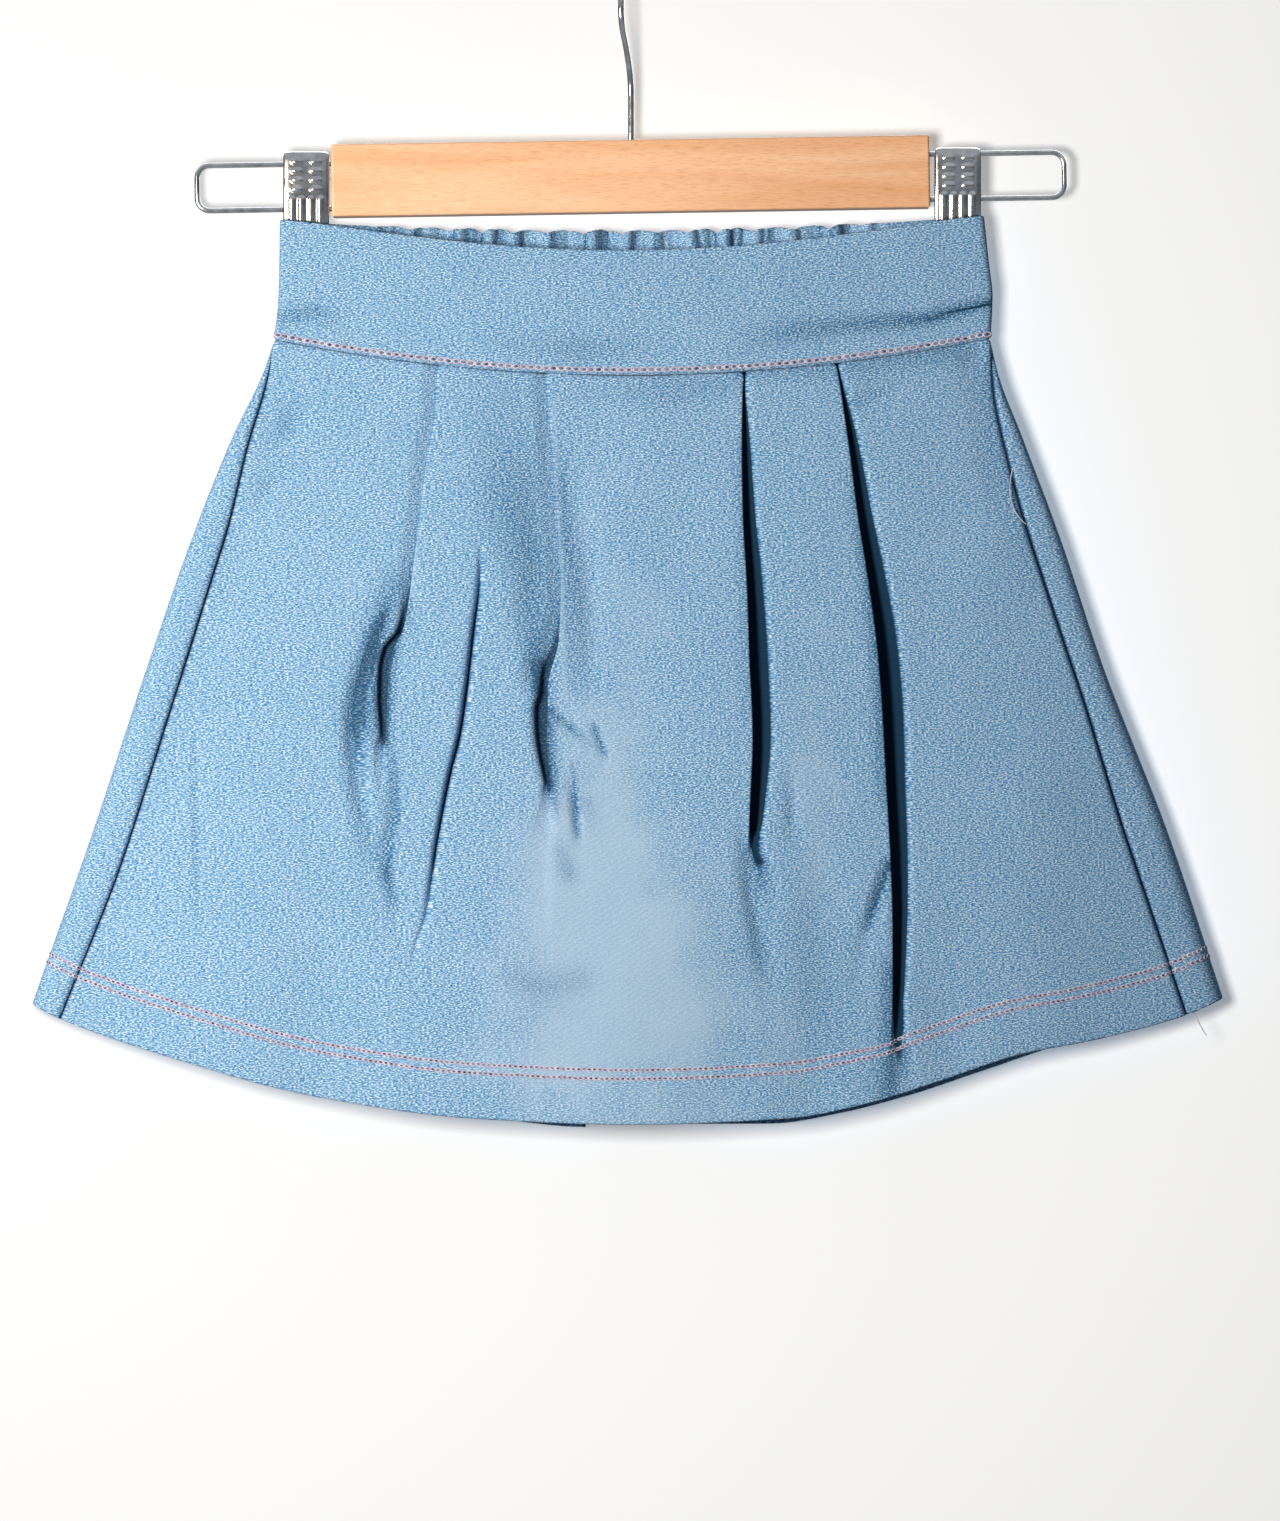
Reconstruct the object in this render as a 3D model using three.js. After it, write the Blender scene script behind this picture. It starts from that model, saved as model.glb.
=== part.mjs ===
/**
 * Child's pull-on denim skirt, clipped by its back waistband to a wooden clip hanger.
 *
 * Units are millimetres, +Z is up and the front of the skirt faces -Y. The origin is
 * the point where the hook bears on the rail or nail that holds the hanger.
 *
 * A cloth piece is a wall of even thickness around a grid of points. Each row of the
 * grid is a level section of the garment seen from above, and each column runs down
 * the cloth. Sections are worked out from the tables below: `t` runs from 0 at the top
 * of a piece to 1 at its lower edge, and widths and depths are measured from the origin.
 */
import * as THREE from 'three';

const { clamp, degToRad, lerp, smoothstep } = THREE.MathUtils;

// ---------------------------------------------------------------- driving dimensions

const SEAM_GAP = 0.3; // between two pieces that are sewn together
const PANEL_CLOTH = 1.0; // single denim
const BAND_CLOTH = 1.5; // doubled denim of the waistband

// Hook: one bent wire, turned almost square to the bar.
const HOOK = {
  wire: 2.4,
  rise: 68, // bar top to the bearing point
  radius: 17, // centre line of the round top
  straight: 18, // plain stem above the bar
  leaves: 225, // degrees, where the stem meets the round top
  tip: 20, // degrees, where the round top ends
  turn: 76.4, // degrees from the bar's length
  sides: 8,
};

// Wooden bar, hanging slightly lower at its left end.
const BAR = {
  length: 239.6,
  height: 29,
  depth: 12,
  centreX: -0.4,
  corner: 2.5,
  edgeRound: 1,
  tilt: 0.9, // degrees
};

// Wire loops that stand out of the bar's ends and carry the clips.
const LOOP = {
  wire: 2.1,
  upperDrop: 7.4, // bar top to the upper wire
  spacing: 18.1, // upper wire to lower wire
  reach: 173.9, // bar centre to the loop's far centre line
  corner: 5,
  sides: 8,
};

// Folded sheet clips. `centreX` and `top` place each one, and the profile is half of
// the folded sheet: `out` from the middle and `drop` below the clip's top.
const CLIP = { width: 18, sheet: 1 };
const CLIP_PROFILE = [
  { out: 2.6, drop: 0.5 },
  { out: 4.1, drop: 1.1 },
  { out: 4.6, drop: 2.6 },
  { out: 4.6, drop: 24 },
  { out: 1.56, drop: 36 },
  { out: 1.56, drop: 41 },
];
const CLIPS = [
  { name: 'clip_left', centreX: -130.1, top: -72.4 },
  { name: 'clip_right', centreX: 131, top: -70.8 },
];

// Level sections of the closed tube of cloth. The edges are the outline, and each wrap
// is how far its side seam lies past the start of the side fold, along the cloth: below
// zero the seam is on the front. `fold` is the depth between front and back layer at the
// sides, `corner` rounds that fold, and the crowns bow front and back apart.
const FRONT_Y = -7.2;
const BAND_LEVELS = [
  { t: 0.0, leftEdge: -140.3, leftWrap: 4.6, rightWrap: 4.6, rightEdge: 141.1,
    fold: 7.2, corner: 1.8, frontCrown: 2.6, backCrown: 0 },
  { t: 0.4, leftEdge: -140.6, leftWrap: 4.6, rightWrap: 4.6, rightEdge: 143.2,
    fold: 7.2, corner: 1.8, frontCrown: 3.4, backCrown: 0 },
  { t: 0.65, leftEdge: -140.9, leftWrap: 4.6, rightWrap: 4.6, rightEdge: 144.5,
    fold: 7.2, corner: 1.8, frontCrown: 3.8, backCrown: 0 },
  { t: 1.0, leftEdge: -142.7, leftWrap: 4.6, rightWrap: 4.6, rightEdge: 143.7,
    fold: 7.2, corner: 1.8, frontCrown: 4, backCrown: 0 },
];
const SKIRT_LEVELS = [
  { t: 0.0, leftEdge: -142.7, leftWrap: 4.6, rightWrap: 4.6, rightEdge: 143.7,
    fold: 7.2, corner: 1.8, frontCrown: 4, backCrown: 0 },
  { t: 0.05, leftEdge: -147.1, leftWrap: 0.6, rightWrap: 0.6, rightEdge: 146.5,
    fold: 7.3, corner: 2.4, frontCrown: 4.3, backCrown: 0.3 },
  { t: 0.15, leftEdge: -159.8, leftWrap: -3.2, rightWrap: -3.9, rightEdge: 156.6,
    fold: 7.8, corner: 3.6, frontCrown: 5.4, backCrown: 1 },
  { t: 0.3, leftEdge: -175.8, leftWrap: -7.8, rightWrap: -6.7, rightEdge: 171.5,
    fold: 9, corner: 4.4, frontCrown: 8.5, backCrown: 2.2 },
  { t: 0.5, leftEdge: -194.3, leftWrap: -8.4, rightWrap: -5.9, rightEdge: 189.2,
    fold: 10.4, corner: 5.1, frontCrown: 13.5, backCrown: 3.6 },
  { t: 0.75, leftEdge: -216.2, leftWrap: -8.2, rightWrap: -9.7, rightEdge: 214.9,
    fold: 11.6, corner: 5.7, frontCrown: 19.5, backCrown: 4.6 },
  { t: 1.0, leftEdge: -239.6, leftWrap: -5.2, rightWrap: -8.7, rightEdge: 236.9,
    fold: 12.4, corner: 6.1, frontCrown: 23, backCrown: 5 },
];
const CROWN_POWER = 1.25;

// Heights of the edges across the width: at the sides, and how far the middle sags.
const FRONT_TOP = { side: -100.1, lean: 0.8, sag: 13.1, power: 1.3 };
const BACK_TOP = { side: -99.9, lean: 1, sag: 5.2, power: 1 };
const FRONT_WAIST = { side: -148, lean: 0.2, sag: 14.6, power: 1 };
const BACK_WAIST = { side: -148, lean: 0.2, sag: 6, power: 1 };
const FRONT_HEM = [
  { x: -239.6, z: -413.6 },
  { x: -228.3, z: -419.2 },
  { x: -181, z: -435.2 },
  { x: -123.5, z: -450.1 },
  { x: -60, z: -458.3 },
  { x: 0, z: -460.4 },
  { x: 62.5, z: -458.1 },
  { x: 93, z: -452.5 },
  { x: 121, z: -444.1 },
  { x: 156, z: -432.8 },
  { x: 184, z: -427.6 },
  { x: 222.5, z: -417.6 },
  { x: 236.9, z: -411.2 },
];
const BACK_HEM = [
  { x: -239.6, z: -413.6 },
  { x: -228.3, z: -419.2 },
  { x: -181, z: -435.2 },
  { x: -123.5, z: -450.1 },
  { x: -60, z: -458.5 },
  { x: -17.6, z: -462.5 },
  { x: 19.6, z: -461.3 },
  { x: 56.5, z: -460.1 },
  { x: 83.8, z: -456.4 },
  { x: 112, z: -450 },
  { x: 140, z: -441 },
  { x: 172, z: -430.2 },
  { x: 222.5, z: -417.4 },
  { x: 236.9, z: -411.2 },
];

// Four knife pleats, from left to right. `faces` is the side that the fold edge faces,
// `edge` its place, `turn` how far the cloth doubles back in degrees, `run` the straight
// stretch underneath, and `gap` the width over which the lower layer comes forward again.
const PLEAT_RADIUS = 1.1;
const PLEATS = [
  {
    faces: -1,
    rows: [
      { t: 0.0, edge: -77, turn: 176, run: 12, gap: 4 },
      { t: 0.15, edge: -82.4, turn: 170, run: 11, gap: 5 },
      { t: 0.32, edge: -88.2, turn: 158, run: 9, gap: 10 },
      { t: 0.45, edge: -97.8, turn: 140, run: 8, gap: 14 },
      { t: 0.55, edge: -96.5, turn: 120, run: 6, gap: 14 },
      { t: 0.68, edge: -96, turn: 70, run: 4, gap: 13 },
      { t: 0.8, edge: -96, turn: 30, run: 4, gap: 18 },
      { t: 1.0, edge: -98, turn: 10, run: 3, gap: 20 },
    ],
  },
  {
    faces: -1,
    rows: [
      { t: 0.0, edge: -33.7, turn: 176, run: 11, gap: 4 },
      { t: 0.15, edge: -30.1, turn: 170, run: 10, gap: 5 },
      { t: 0.3, edge: -27.7, turn: 160, run: 8, gap: 9 },
      { t: 0.45, edge: -26.1, turn: 140, run: 5, gap: 12 },
      { t: 0.55, edge: -29, turn: 70, run: 3, gap: 12 },
      { t: 0.7, edge: -32, turn: 30, run: 3, gap: 18 },
      { t: 1.0, edge: -36, turn: 8, run: 3, gap: 20 },
    ],
  },
  {
    faces: 1,
    rows: [
      { t: 0.0, edge: 44.9, turn: 176, run: 12, gap: 3.5 },
      { t: 0.13, edge: 44.1, turn: 168, run: 11, gap: 4.5 },
      { t: 0.3, edge: 46.1, turn: 155, run: 10, gap: 7 },
      { t: 0.5, edge: 48.3, turn: 145, run: 8, gap: 7.5 },
      { t: 0.62, edge: 47, turn: 115, run: 4, gap: 7 },
      { t: 0.72, edge: 47, turn: 50, run: 3, gap: 12 },
      { t: 1.0, edge: 54, turn: 15, run: 3, gap: 20 },
    ],
  },
  {
    faces: 1,
    rows: [
      { t: 0.0, edge: 81.8, turn: 176, run: 12, gap: 4 },
      { t: 0.15, edge: 87.8, turn: 165, run: 11, gap: 5 },
      { t: 0.4, edge: 97.8, turn: 150, run: 9, gap: 8 },
      { t: 0.6, edge: 101.8, turn: 135, run: 7, gap: 8.5 },
      { t: 0.8, edge: 104.2, turn: 110, run: 4.5, gap: 8 },
      { t: 1.0, edge: 103.8, turn: 60, run: 3, gap: 14 },
    ],
  },
];

// A pressed crease between the two left pleats, sunk by `depth` at its line.
const CREASE_HALF_WIDTH = 2.5;
const CREASE = [
  { t: 0.0, x: -58, depth: 0 },
  { t: 0.26, x: -60.1, depth: 0.4 },
  { t: 0.37, x: -62.9, depth: 2.4 },
  { t: 0.55, x: -71.8, depth: 2.6 },
  { t: 0.7, x: -79.2, depth: 2.2 },
  { t: 0.82, x: -85.5, depth: 0.5 },
  { t: 1.0, x: -87, depth: 0 },
];

// Elastic gathers of the back: waves over the middle `span` of the half width. They run
// down the whole band and fade out over the upper part of the back panels.
const GATHERS = { waves: 16, span: 0.78, edgeFade: 0.12, bandDepth: 1.5, panelDepth: 1.9, fadeBy: 0.5 };
const BACK_FLARE = { waves: 2.5, depth: 1.8 };

// Centre back: a seam that opens into a short vent above the hem.
const VENT = { start: 0.74, halfWidth: 18.4, power: 1.3 };

// Fineness of the grids.
const PANEL_ROWS = 18;
const BACK_ROWS = 12;
const BAND_ROWS = 5;
const TURN_STEPS = 4; // per quarter to half turn of a pleat
const GATHER_STEPS = 4; // per wave
const WRAP_STEPS = 8; // round a side fold
const BESIDE_SEAM = [0, 1.5, 3, 4.6, 6.5, 9]; // distances from a side seam to grid columns

// --------------------------------------------------------------------------- helpers

/** Numbers from `from` to `to` in equal steps, both ends included. */
function steps(from, to, count) {
  return Array.from({ length: count + 1 }, (_, k) => lerp(from, to, k / count));
}

/** Column `name` of a table at `key` = `value`, on a cubic that never overshoots its rows. */
function readTable(table, name, value, key = 't') {
  const last = table.length - 1;
  const here = clamp(value, table[0][key], table[last][key]);
  let k = table.findIndex((row) => row[key] >= here) - 1;
  k = clamp(k, 0, last - 1);
  const width = (i) => table[i + 1][key] - table[i][key];
  const grade = (i) => (table[i + 1][name] - table[i][name]) / width(i);
  const slope = (i) => {
    if (i === 0) return grade(0);
    if (i === last) return grade(last - 1);
    const [before, after] = [grade(i - 1), grade(i)];
    return before * after <= 0 ? 0 : (2 * before * after) / (before + after);
  };
  const h = width(k);
  const s = (here - table[k][key]) / h;
  const rise = table[k + 1][name] - table[k][name];
  const [m0, m1] = [slope(k) * h, slope(k + 1) * h];
  return table[k][name] + s * (m0 + s * (3 * rise - 2 * m0 - m1 + s * (m0 + m1 - 2 * rise)));
}

/** Height of an edge line at `u`, which runs from -1 at the left side to 1 at the right. */
function lineHeight({ side, lean, sag, power }, u) {
  return side + lean * u - sag * (1 - u * u) ** power;
}

/** Geometry from flat lists of corner positions and triangle indices. */
function meshGeometry(positions, indices) {
  const geometry = new THREE.BufferGeometry();
  geometry.setAttribute('position', new THREE.Float32BufferAttribute(positions, 3));
  geometry.setIndex(indices);
  geometry.computeVertexNormals();
  return geometry;
}

/** Unit normal of a grid of points at one node, square to its row and its column. */
function gridNormal(grid, row, column) {
  const lastRow = grid.length - 1;
  const lastColumn = grid[0].length - 1;
  const along = new THREE.Vector3().subVectors(
    grid[row][Math.min(column + 1, lastColumn)],
    grid[row][Math.max(column - 1, 0)],
  );
  const down = new THREE.Vector3().subVectors(
    grid[Math.min(row + 1, lastRow)][column],
    grid[Math.max(row - 1, 0)][column],
  );
  return along.cross(down).normalize();
}

/** Closed wall of one thickness around a grid of mid-surface points. */
function clothWall(grid, thickness) {
  const rows = grid.length;
  const columns = grid[0].length;
  const far = rows * columns;
  const positions = [];
  for (const side of [0.5, -0.5]) {
    grid.forEach((points, row) => points.forEach((point, column) => {
      const corner = gridNormal(grid, row, column).multiplyScalar(side * thickness).add(point);
      positions.push(corner.x, corner.y, corner.z);
    }));
  }
  const indices = [];
  for (let row = 0; row < rows - 1; row++) {
    for (let column = 0; column < columns - 1; column++) {
      const a = row * columns + column;
      const [b, c, d] = [a + 1, a + columns + 1, a + columns];
      indices.push(a, b, c, a, c, d);
      indices.push(far + a, far + c, far + b, far + a, far + d, far + c);
    }
  }
  const rim = [];
  for (let column = 0; column < columns - 1; column++) rim.push(column);
  for (let row = 0; row < rows - 1; row++) rim.push(row * columns + columns - 1);
  for (let column = columns - 1; column > 0; column--) rim.push((rows - 1) * columns + column);
  for (let row = rows - 1; row > 0; row--) rim.push(row * columns);
  rim.forEach((a, k) => {
    const b = rim[(k + 1) % rim.length];
    indices.push(b, a, far + a, b, far + a, far + b);
  });
  return meshGeometry(positions, indices);
}

/** Closed round wire along points that lie in one plane with the unit normal `across`. */
function wireGeometry(points, across, diameter, sides) {
  const positions = [];
  const indices = [];
  const last = points.length - 1;
  points.forEach((point, k) => {
    const along = new THREE.Vector3()
      .subVectors(points[Math.min(k + 1, last)], points[Math.max(k - 1, 0)])
      .normalize();
    const out = new THREE.Vector3().crossVectors(across, along);
    for (let side = 0; side < sides; side++) {
      const angle = (2 * Math.PI * side) / sides;
      const corner = point.clone()
        .addScaledVector(out, (diameter / 2) * Math.cos(angle))
        .addScaledVector(across, (diameter / 2) * Math.sin(angle));
      positions.push(corner.x, corner.y, corner.z);
    }
  });
  for (let k = 0; k < last; k++) {
    for (let side = 0; side < sides; side++) {
      const a = k * sides + side;
      const b = k * sides + ((side + 1) % sides);
      indices.push(a, b, b + sides, a, b + sides, a + sides);
    }
  }
  for (let side = 1; side < sides - 1; side++) {
    indices.push(0, side + 1, side);
    indices.push(last * sides, last * sides + side, last * sides + side + 1);
  }
  return meshGeometry(positions, indices);
}

function namedMesh(name, geometry, { color, roughness, metalness }) {
  const material = new THREE.MeshStandardMaterial({ color, roughness, metalness });
  const mesh = new THREE.Mesh(geometry, material);
  mesh.name = name;
  return mesh;
}

// ------------------------------------------------------------------- garment sections

/**
 * One side of a level section, where the cloth folds from front to back. Distances along
 * it count from where the front starts to round: `seam` is the side seam's and `end` is
 * where the back begins.
 */
function sideFold(levels, t, side) {
  const name = side < 0 ? 'left' : 'right';
  const edge = Math.abs(readTable(levels, `${name}Edge`, t));
  const fold = readTable(levels, 'fold', t);
  const corner = readTable(levels, 'corner', t);
  const quarter = (Math.PI / 2) * corner;
  const flat = fold - 2 * corner;
  const end = 2 * quarter + flat;

  /** Point at a distance along the path: front, corner, side, corner, back. */
  function at(q) {
    if (q <= 0) return { x: side * (edge - corner + q), y: FRONT_Y };
    if (q >= end) return { x: side * (edge - corner - (q - end)), y: FRONT_Y + fold };
    const rounded = q <= quarter ? q : Math.max(q - flat, quarter);
    const angle = rounded / corner;
    const onFlat = clamp(q - quarter, 0, flat);
    return {
      x: side * (edge - corner + corner * Math.sin(angle)),
      y: FRONT_Y + corner * (1 - Math.cos(angle)) + onFlat,
    };
  }
  return { seam: readTable(levels, `${name}Wrap`, t), end, at };
}

/** Points from a side seam along the front to where it is plainly flat. */
function besideSeam(fold) {
  return BESIDE_SEAM.map((distance) => fold.at(fold.seam - SEAM_GAP / 2 - distance));
}

/** Half width of the section on the side where `x` lies. */
function reach(levels, t, x) {
  return Math.abs(readTable(levels, x < 0 ? 'leftEdge' : 'rightEdge', t));
}

/** Point of a section lifted to its height and bowed forward or backward. */
function bowed(levels, t, { x, y }, crownName, height) {
  const u = clamp(x / reach(levels, t, x), -1, 1);
  const bow = readTable(levels, crownName, t) * (1 - u * u) ** CROWN_POWER;
  const forward = crownName === 'frontCrown' ? -bow : bow;
  return new THREE.Vector3(x, y + forward, height(u, t));
}

/** Height on a panel between its waist line and its hem, with the seam gap at the top. */
function panelHeight(waist, hem) {
  return (u, t) => {
    const top = lineHeight(waist, u) - SEAM_GAP / 2;
    const bottom = readTable(hem, 'z', u * reach(SKIRT_LEVELS, 1, u), 'x');
    return lerp(top, bottom, t);
  };
}

/** Height on a waistband between its top edge and the waist seam. */
function bandHeight(topLine, waist) {
  return (u, t) => lerp(lineHeight(topLine, u), lineHeight(waist, u) + SEAM_GAP / 2, t);
}

/**
 * A knife pleat seen from above, listed from left to right with `back` as the depth
 * behind the front layer. The cloth rounds the fold edge, runs back under it and rounds
 * the hidden fold. `rise` is the depth of the lower layer.
 */
function knifePleat({ faces, rows }, t) {
  const edge = readTable(rows, 'edge', t);
  const turn = degToRad(readTable(rows, 'turn', t));
  const run = readTable(rows, 'run', t);
  const start = faces * edge - PLEAT_RADIUS * Math.sin(Math.min(turn, Math.PI / 2));
  const points = steps(0, turn, TURN_STEPS).map((a) => ({
    x: start + PLEAT_RADIUS * Math.sin(a),
    back: PLEAT_RADIUS * (1 - Math.cos(a)),
  }));
  const under = {
    x: points[TURN_STEPS].x + run * Math.cos(turn),
    back: points[TURN_STEPS].back + run * Math.sin(turn),
  };
  steps(turn, 0, TURN_STEPS).forEach((a) => points.push({
    x: under.x + PLEAT_RADIUS * (Math.sin(turn) - Math.sin(a)),
    back: under.back + PLEAT_RADIUS * (Math.cos(a) - Math.cos(turn)),
  }));
  const rise = points[points.length - 1].back;
  if (faces < 0) {
    points.reverse();
    points.forEach((point) => { point.x = -point.x; });
  }
  return { faces, edge, gap: readTable(rows, 'gap', t), rise, points };
}

/** Flat stretch beside a pleat, from its lower layer out to the open surface. */
function comingForward(pleat, count) {
  const { points, faces, edge, gap, rise } = pleat;
  const hidden = faces > 0 ? points[points.length - 1].x : points[0].x;
  const mouth = faces > 0 ? Math.max(edge, hidden) : Math.min(edge, hidden);
  const open = mouth + faces * gap;
  const list = steps(0, 1, count).slice(1).map((s) => {
    const x = lerp(hidden, open, 1 - (1 - s) ** 1.6);
    return { x, back: rise * (1 - smoothstep(faces * (x - mouth), 0, gap)) };
  });
  return faces > 0 ? list : list.reverse();
}

/** Plain stretch of the front surface, without its two end points. */
function openStretch(from, to, count) {
  return steps(from, to, count).slice(1, -1).map((x) => ({ x, back: 0 }));
}

/** Level section of the front panel, from the left side seam to the right one. */
function frontPanelSection(t) {
  const left = sideFold(SKIRT_LEVELS, t, -1);
  const right = sideFold(SKIRT_LEVELS, t, 1);
  const [outerLeft, innerLeft, innerRight, outerRight] = PLEATS.map((row) => knifePleat(row, t));
  const onSurface = ({ x, y }) => ({ x, back: y - FRONT_Y });
  const leftSide = besideSeam(left).map(onSurface);
  const rightSide = besideSeam(right).map(onSurface).reverse();
  const creaseX = readTable(CREASE, 'x', t);
  const crease = [-1, 0, 1].map((k) => ({
    x: creaseX + k * CREASE_HALF_WIDTH,
    back: k === 0 ? readTable(CREASE, 'depth', t) : 0,
  }));
  const forwardOf = [outerLeft, innerLeft, innerRight, outerRight].map((p) => comingForward(p, 5));
  const endX = (list) => list[list.length - 1].x;
  const section = [
    ...leftSide,
    ...openStretch(endX(leftSide), forwardOf[0][0].x, 6),
    ...forwardOf[0],
    ...outerLeft.points,
    ...openStretch(endX(outerLeft.points), crease[0].x, 3),
    ...crease,
    ...openStretch(crease[2].x, forwardOf[1][0].x, 3),
    ...forwardOf[1],
    ...innerLeft.points,
    ...openStretch(endX(innerLeft.points), innerRight.points[0].x, 7),
    ...innerRight.points,
    ...forwardOf[2],
    ...openStretch(endX(forwardOf[2]), outerRight.points[0].x, 4),
    ...outerRight.points,
    ...forwardOf[3],
    ...openStretch(endX(forwardOf[3]), rightSide[0].x, 7),
    ...rightSide,
  ];
  return section.map(({ x, back }) => ({ x, y: FRONT_Y + back }));
}

/** Depth of the elastic gathers at `u` across the back, uneven from wave to wave. */
function gatherDepth(u) {
  const v = (u / GATHERS.span + 1) / 2;
  const inside = smoothstep(v, 0, GATHERS.edgeFade) * smoothstep(1 - v, 0, GATHERS.edgeFade);
  const phase = 2 * Math.PI * GATHERS.waves * v + 0.7 * Math.sin(19 * v + 1);
  return inside * Math.sin(phase) * (0.8 + 0.2 * Math.sin(31 * v));
}

/** Half of a back section: from the side seam, round the side fold, to the middle. */
function backHalfSection(levels, t, side, middleX, depthAt) {
  const fold = sideFold(levels, t, side);
  const seam = fold.seam + SEAM_GAP / 2;
  const wrap = [seam, ...steps(seam + BESIDE_SEAM[1], fold.end + 2, WRAP_STEPS)];
  const section = wrap.map(fold.at);
  const backY = fold.at(fold.end).y;
  const half = reach(levels, t, side);
  const gatherStart = side * half * GATHERS.span;
  const waveSteps = (GATHERS.waves / 2) * GATHER_STEPS;
  const xs = [
    ...steps(section[section.length - 1].x, gatherStart, 3).slice(1, -1),
    ...steps(gatherStart, middleX, waveSteps),
  ];
  xs.forEach((x) => section.push({ x, y: backY + depthAt(x / half) }));
  return section;
}

/** Name of the crown that bows a point of a back panel, which starts on the front. */
function backCrownOf(levels, t, point) {
  const middle = FRONT_Y + readTable(levels, 'fold', t) / 2;
  return point.y < middle ? 'frontCrown' : 'backCrown';
}

// ------------------------------------------------------------------------ cloth pieces

const DENIM = { color: 0x94b6d2, roughness: 0.9, metalness: 0 };
const DENIM_BAND = { color: 0x8fb0cc, roughness: 0.9, metalness: 0 };

function frontPanel() {
  const height = panelHeight(FRONT_WAIST, FRONT_HEM);
  const grid = steps(0, 1, PANEL_ROWS).map((t) => frontPanelSection(t)
    .map((point) => bowed(SKIRT_LEVELS, t, point, 'frontCrown', height)));
  return namedMesh('front_panel', clothWall(grid, PANEL_CLOTH), DENIM);
}

function backPanel(side) {
  const height = panelHeight(BACK_WAIST, BACK_HEM);
  const grid = steps(0, 1, BACK_ROWS).map((t) => {
    const opening = clamp((t - VENT.start) / (1 - VENT.start), 0, 1) ** VENT.power;
    const middleX = side * (SEAM_GAP / 2 + VENT.halfWidth * opening);
    const gathered = GATHERS.panelDepth * (1 - smoothstep(t, 0, GATHERS.fadeBy));
    const depthAt = (u) => gathered * gatherDepth(u)
      + BACK_FLARE.depth * t * (1 - u * u) * Math.sin(2 * Math.PI * BACK_FLARE.waves * u);
    return backHalfSection(SKIRT_LEVELS, t, side, middleX, depthAt)
      .map((point) => bowed(SKIRT_LEVELS, t, point, backCrownOf(SKIRT_LEVELS, t, point), height));
  });
  const name = side < 0 ? 'back_panel_left' : 'back_panel_right';
  return namedMesh(name, clothWall(grid, PANEL_CLOTH), DENIM);
}

function frontBand() {
  const height = bandHeight(FRONT_TOP, FRONT_WAIST);
  const grid = steps(0, 1, BAND_ROWS).map((t) => {
    const [left, right] = [-1, 1].map((side) => besideSeam(sideFold(BAND_LEVELS, t, side)));
    right.reverse();
    const middle = steps(left[left.length - 1].x, right[0].x, 18).slice(1, -1);
    return [...left, ...middle.map((x) => ({ x, y: FRONT_Y })), ...right]
      .map((point) => bowed(BAND_LEVELS, t, point, 'frontCrown', height));
  });
  return namedMesh('front_waistband', clothWall(grid, BAND_CLOTH), DENIM_BAND);
}

function backBand() {
  const height = bandHeight(BACK_TOP, BACK_WAIST);
  const depthAt = (u) => GATHERS.bandDepth * gatherDepth(u);
  const grid = steps(0, 1, BAND_ROWS - 1).map((t) => {
    const left = backHalfSection(BAND_LEVELS, t, -1, 0, depthAt);
    const right = backHalfSection(BAND_LEVELS, t, 1, 0, depthAt).reverse();
    return [...left, ...right.slice(1)]
      .map((point) => bowed(BAND_LEVELS, t, point, 'backCrown', height));
  });
  return namedMesh('back_waistband', clothWall(grid, BAND_CLOTH), DENIM_BAND);
}

// ---------------------------------------------------------------------- hanger pieces

const WOOD = { color: 0xe8b07f, roughness: 0.45, metalness: 0 };
const CHROME = { color: 0xc8cacd, roughness: 0.2, metalness: 1 };

function barGeometry() {
  const halfLength = BAR.length / 2 - BAR.edgeRound;
  const halfHeight = BAR.height / 2 - BAR.edgeRound;
  const corner = BAR.corner - BAR.edgeRound;
  const outline = new THREE.Shape();
  outline.moveTo(-halfLength + corner, -halfHeight);
  outline.absarc(halfLength - corner, -halfHeight + corner, corner, -Math.PI / 2, 0);
  outline.absarc(halfLength - corner, halfHeight - corner, corner, 0, Math.PI / 2);
  outline.absarc(-halfLength + corner, halfHeight - corner, corner, Math.PI / 2, Math.PI);
  outline.absarc(-halfLength + corner, -halfHeight + corner, corner, Math.PI, 1.5 * Math.PI);
  const geometry = new THREE.ExtrudeGeometry(outline, {
    depth: BAR.depth - 2 * BAR.edgeRound,
    curveSegments: 3,
    bevelThickness: BAR.edgeRound,
    bevelSize: BAR.edgeRound,
    bevelSegments: 2,
  });
  geometry.translate(0, 0, -(BAR.depth / 2 - BAR.edgeRound));
  geometry.rotateX(Math.PI / 2);
  return geometry;
}

/** Wire loop out of one end of the bar, measured from the middle of the bar's top. */
function loopGeometry(side) {
  const start = BAR.length / 2 + SEAM_GAP;
  const upper = -LOOP.upperDrop;
  const lower = upper - LOOP.spacing;
  const bend = LOOP.reach - LOOP.corner;
  const round = (z, from, to) => steps(from, to, 5).map((degrees) => new THREE.Vector3(
    side * (bend + LOOP.corner * Math.cos(degToRad(degrees))),
    0,
    z + LOOP.corner * Math.sin(degToRad(degrees)),
  ));
  const points = [
    new THREE.Vector3(side * start, 0, upper),
    ...round(upper - LOOP.corner, 90, 0),
    ...round(lower + LOOP.corner, 0, -90),
    new THREE.Vector3(side * start, 0, lower),
  ];
  return wireGeometry(points, new THREE.Vector3(0, 1, 0), LOOP.wire, LOOP.sides);
}

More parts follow.
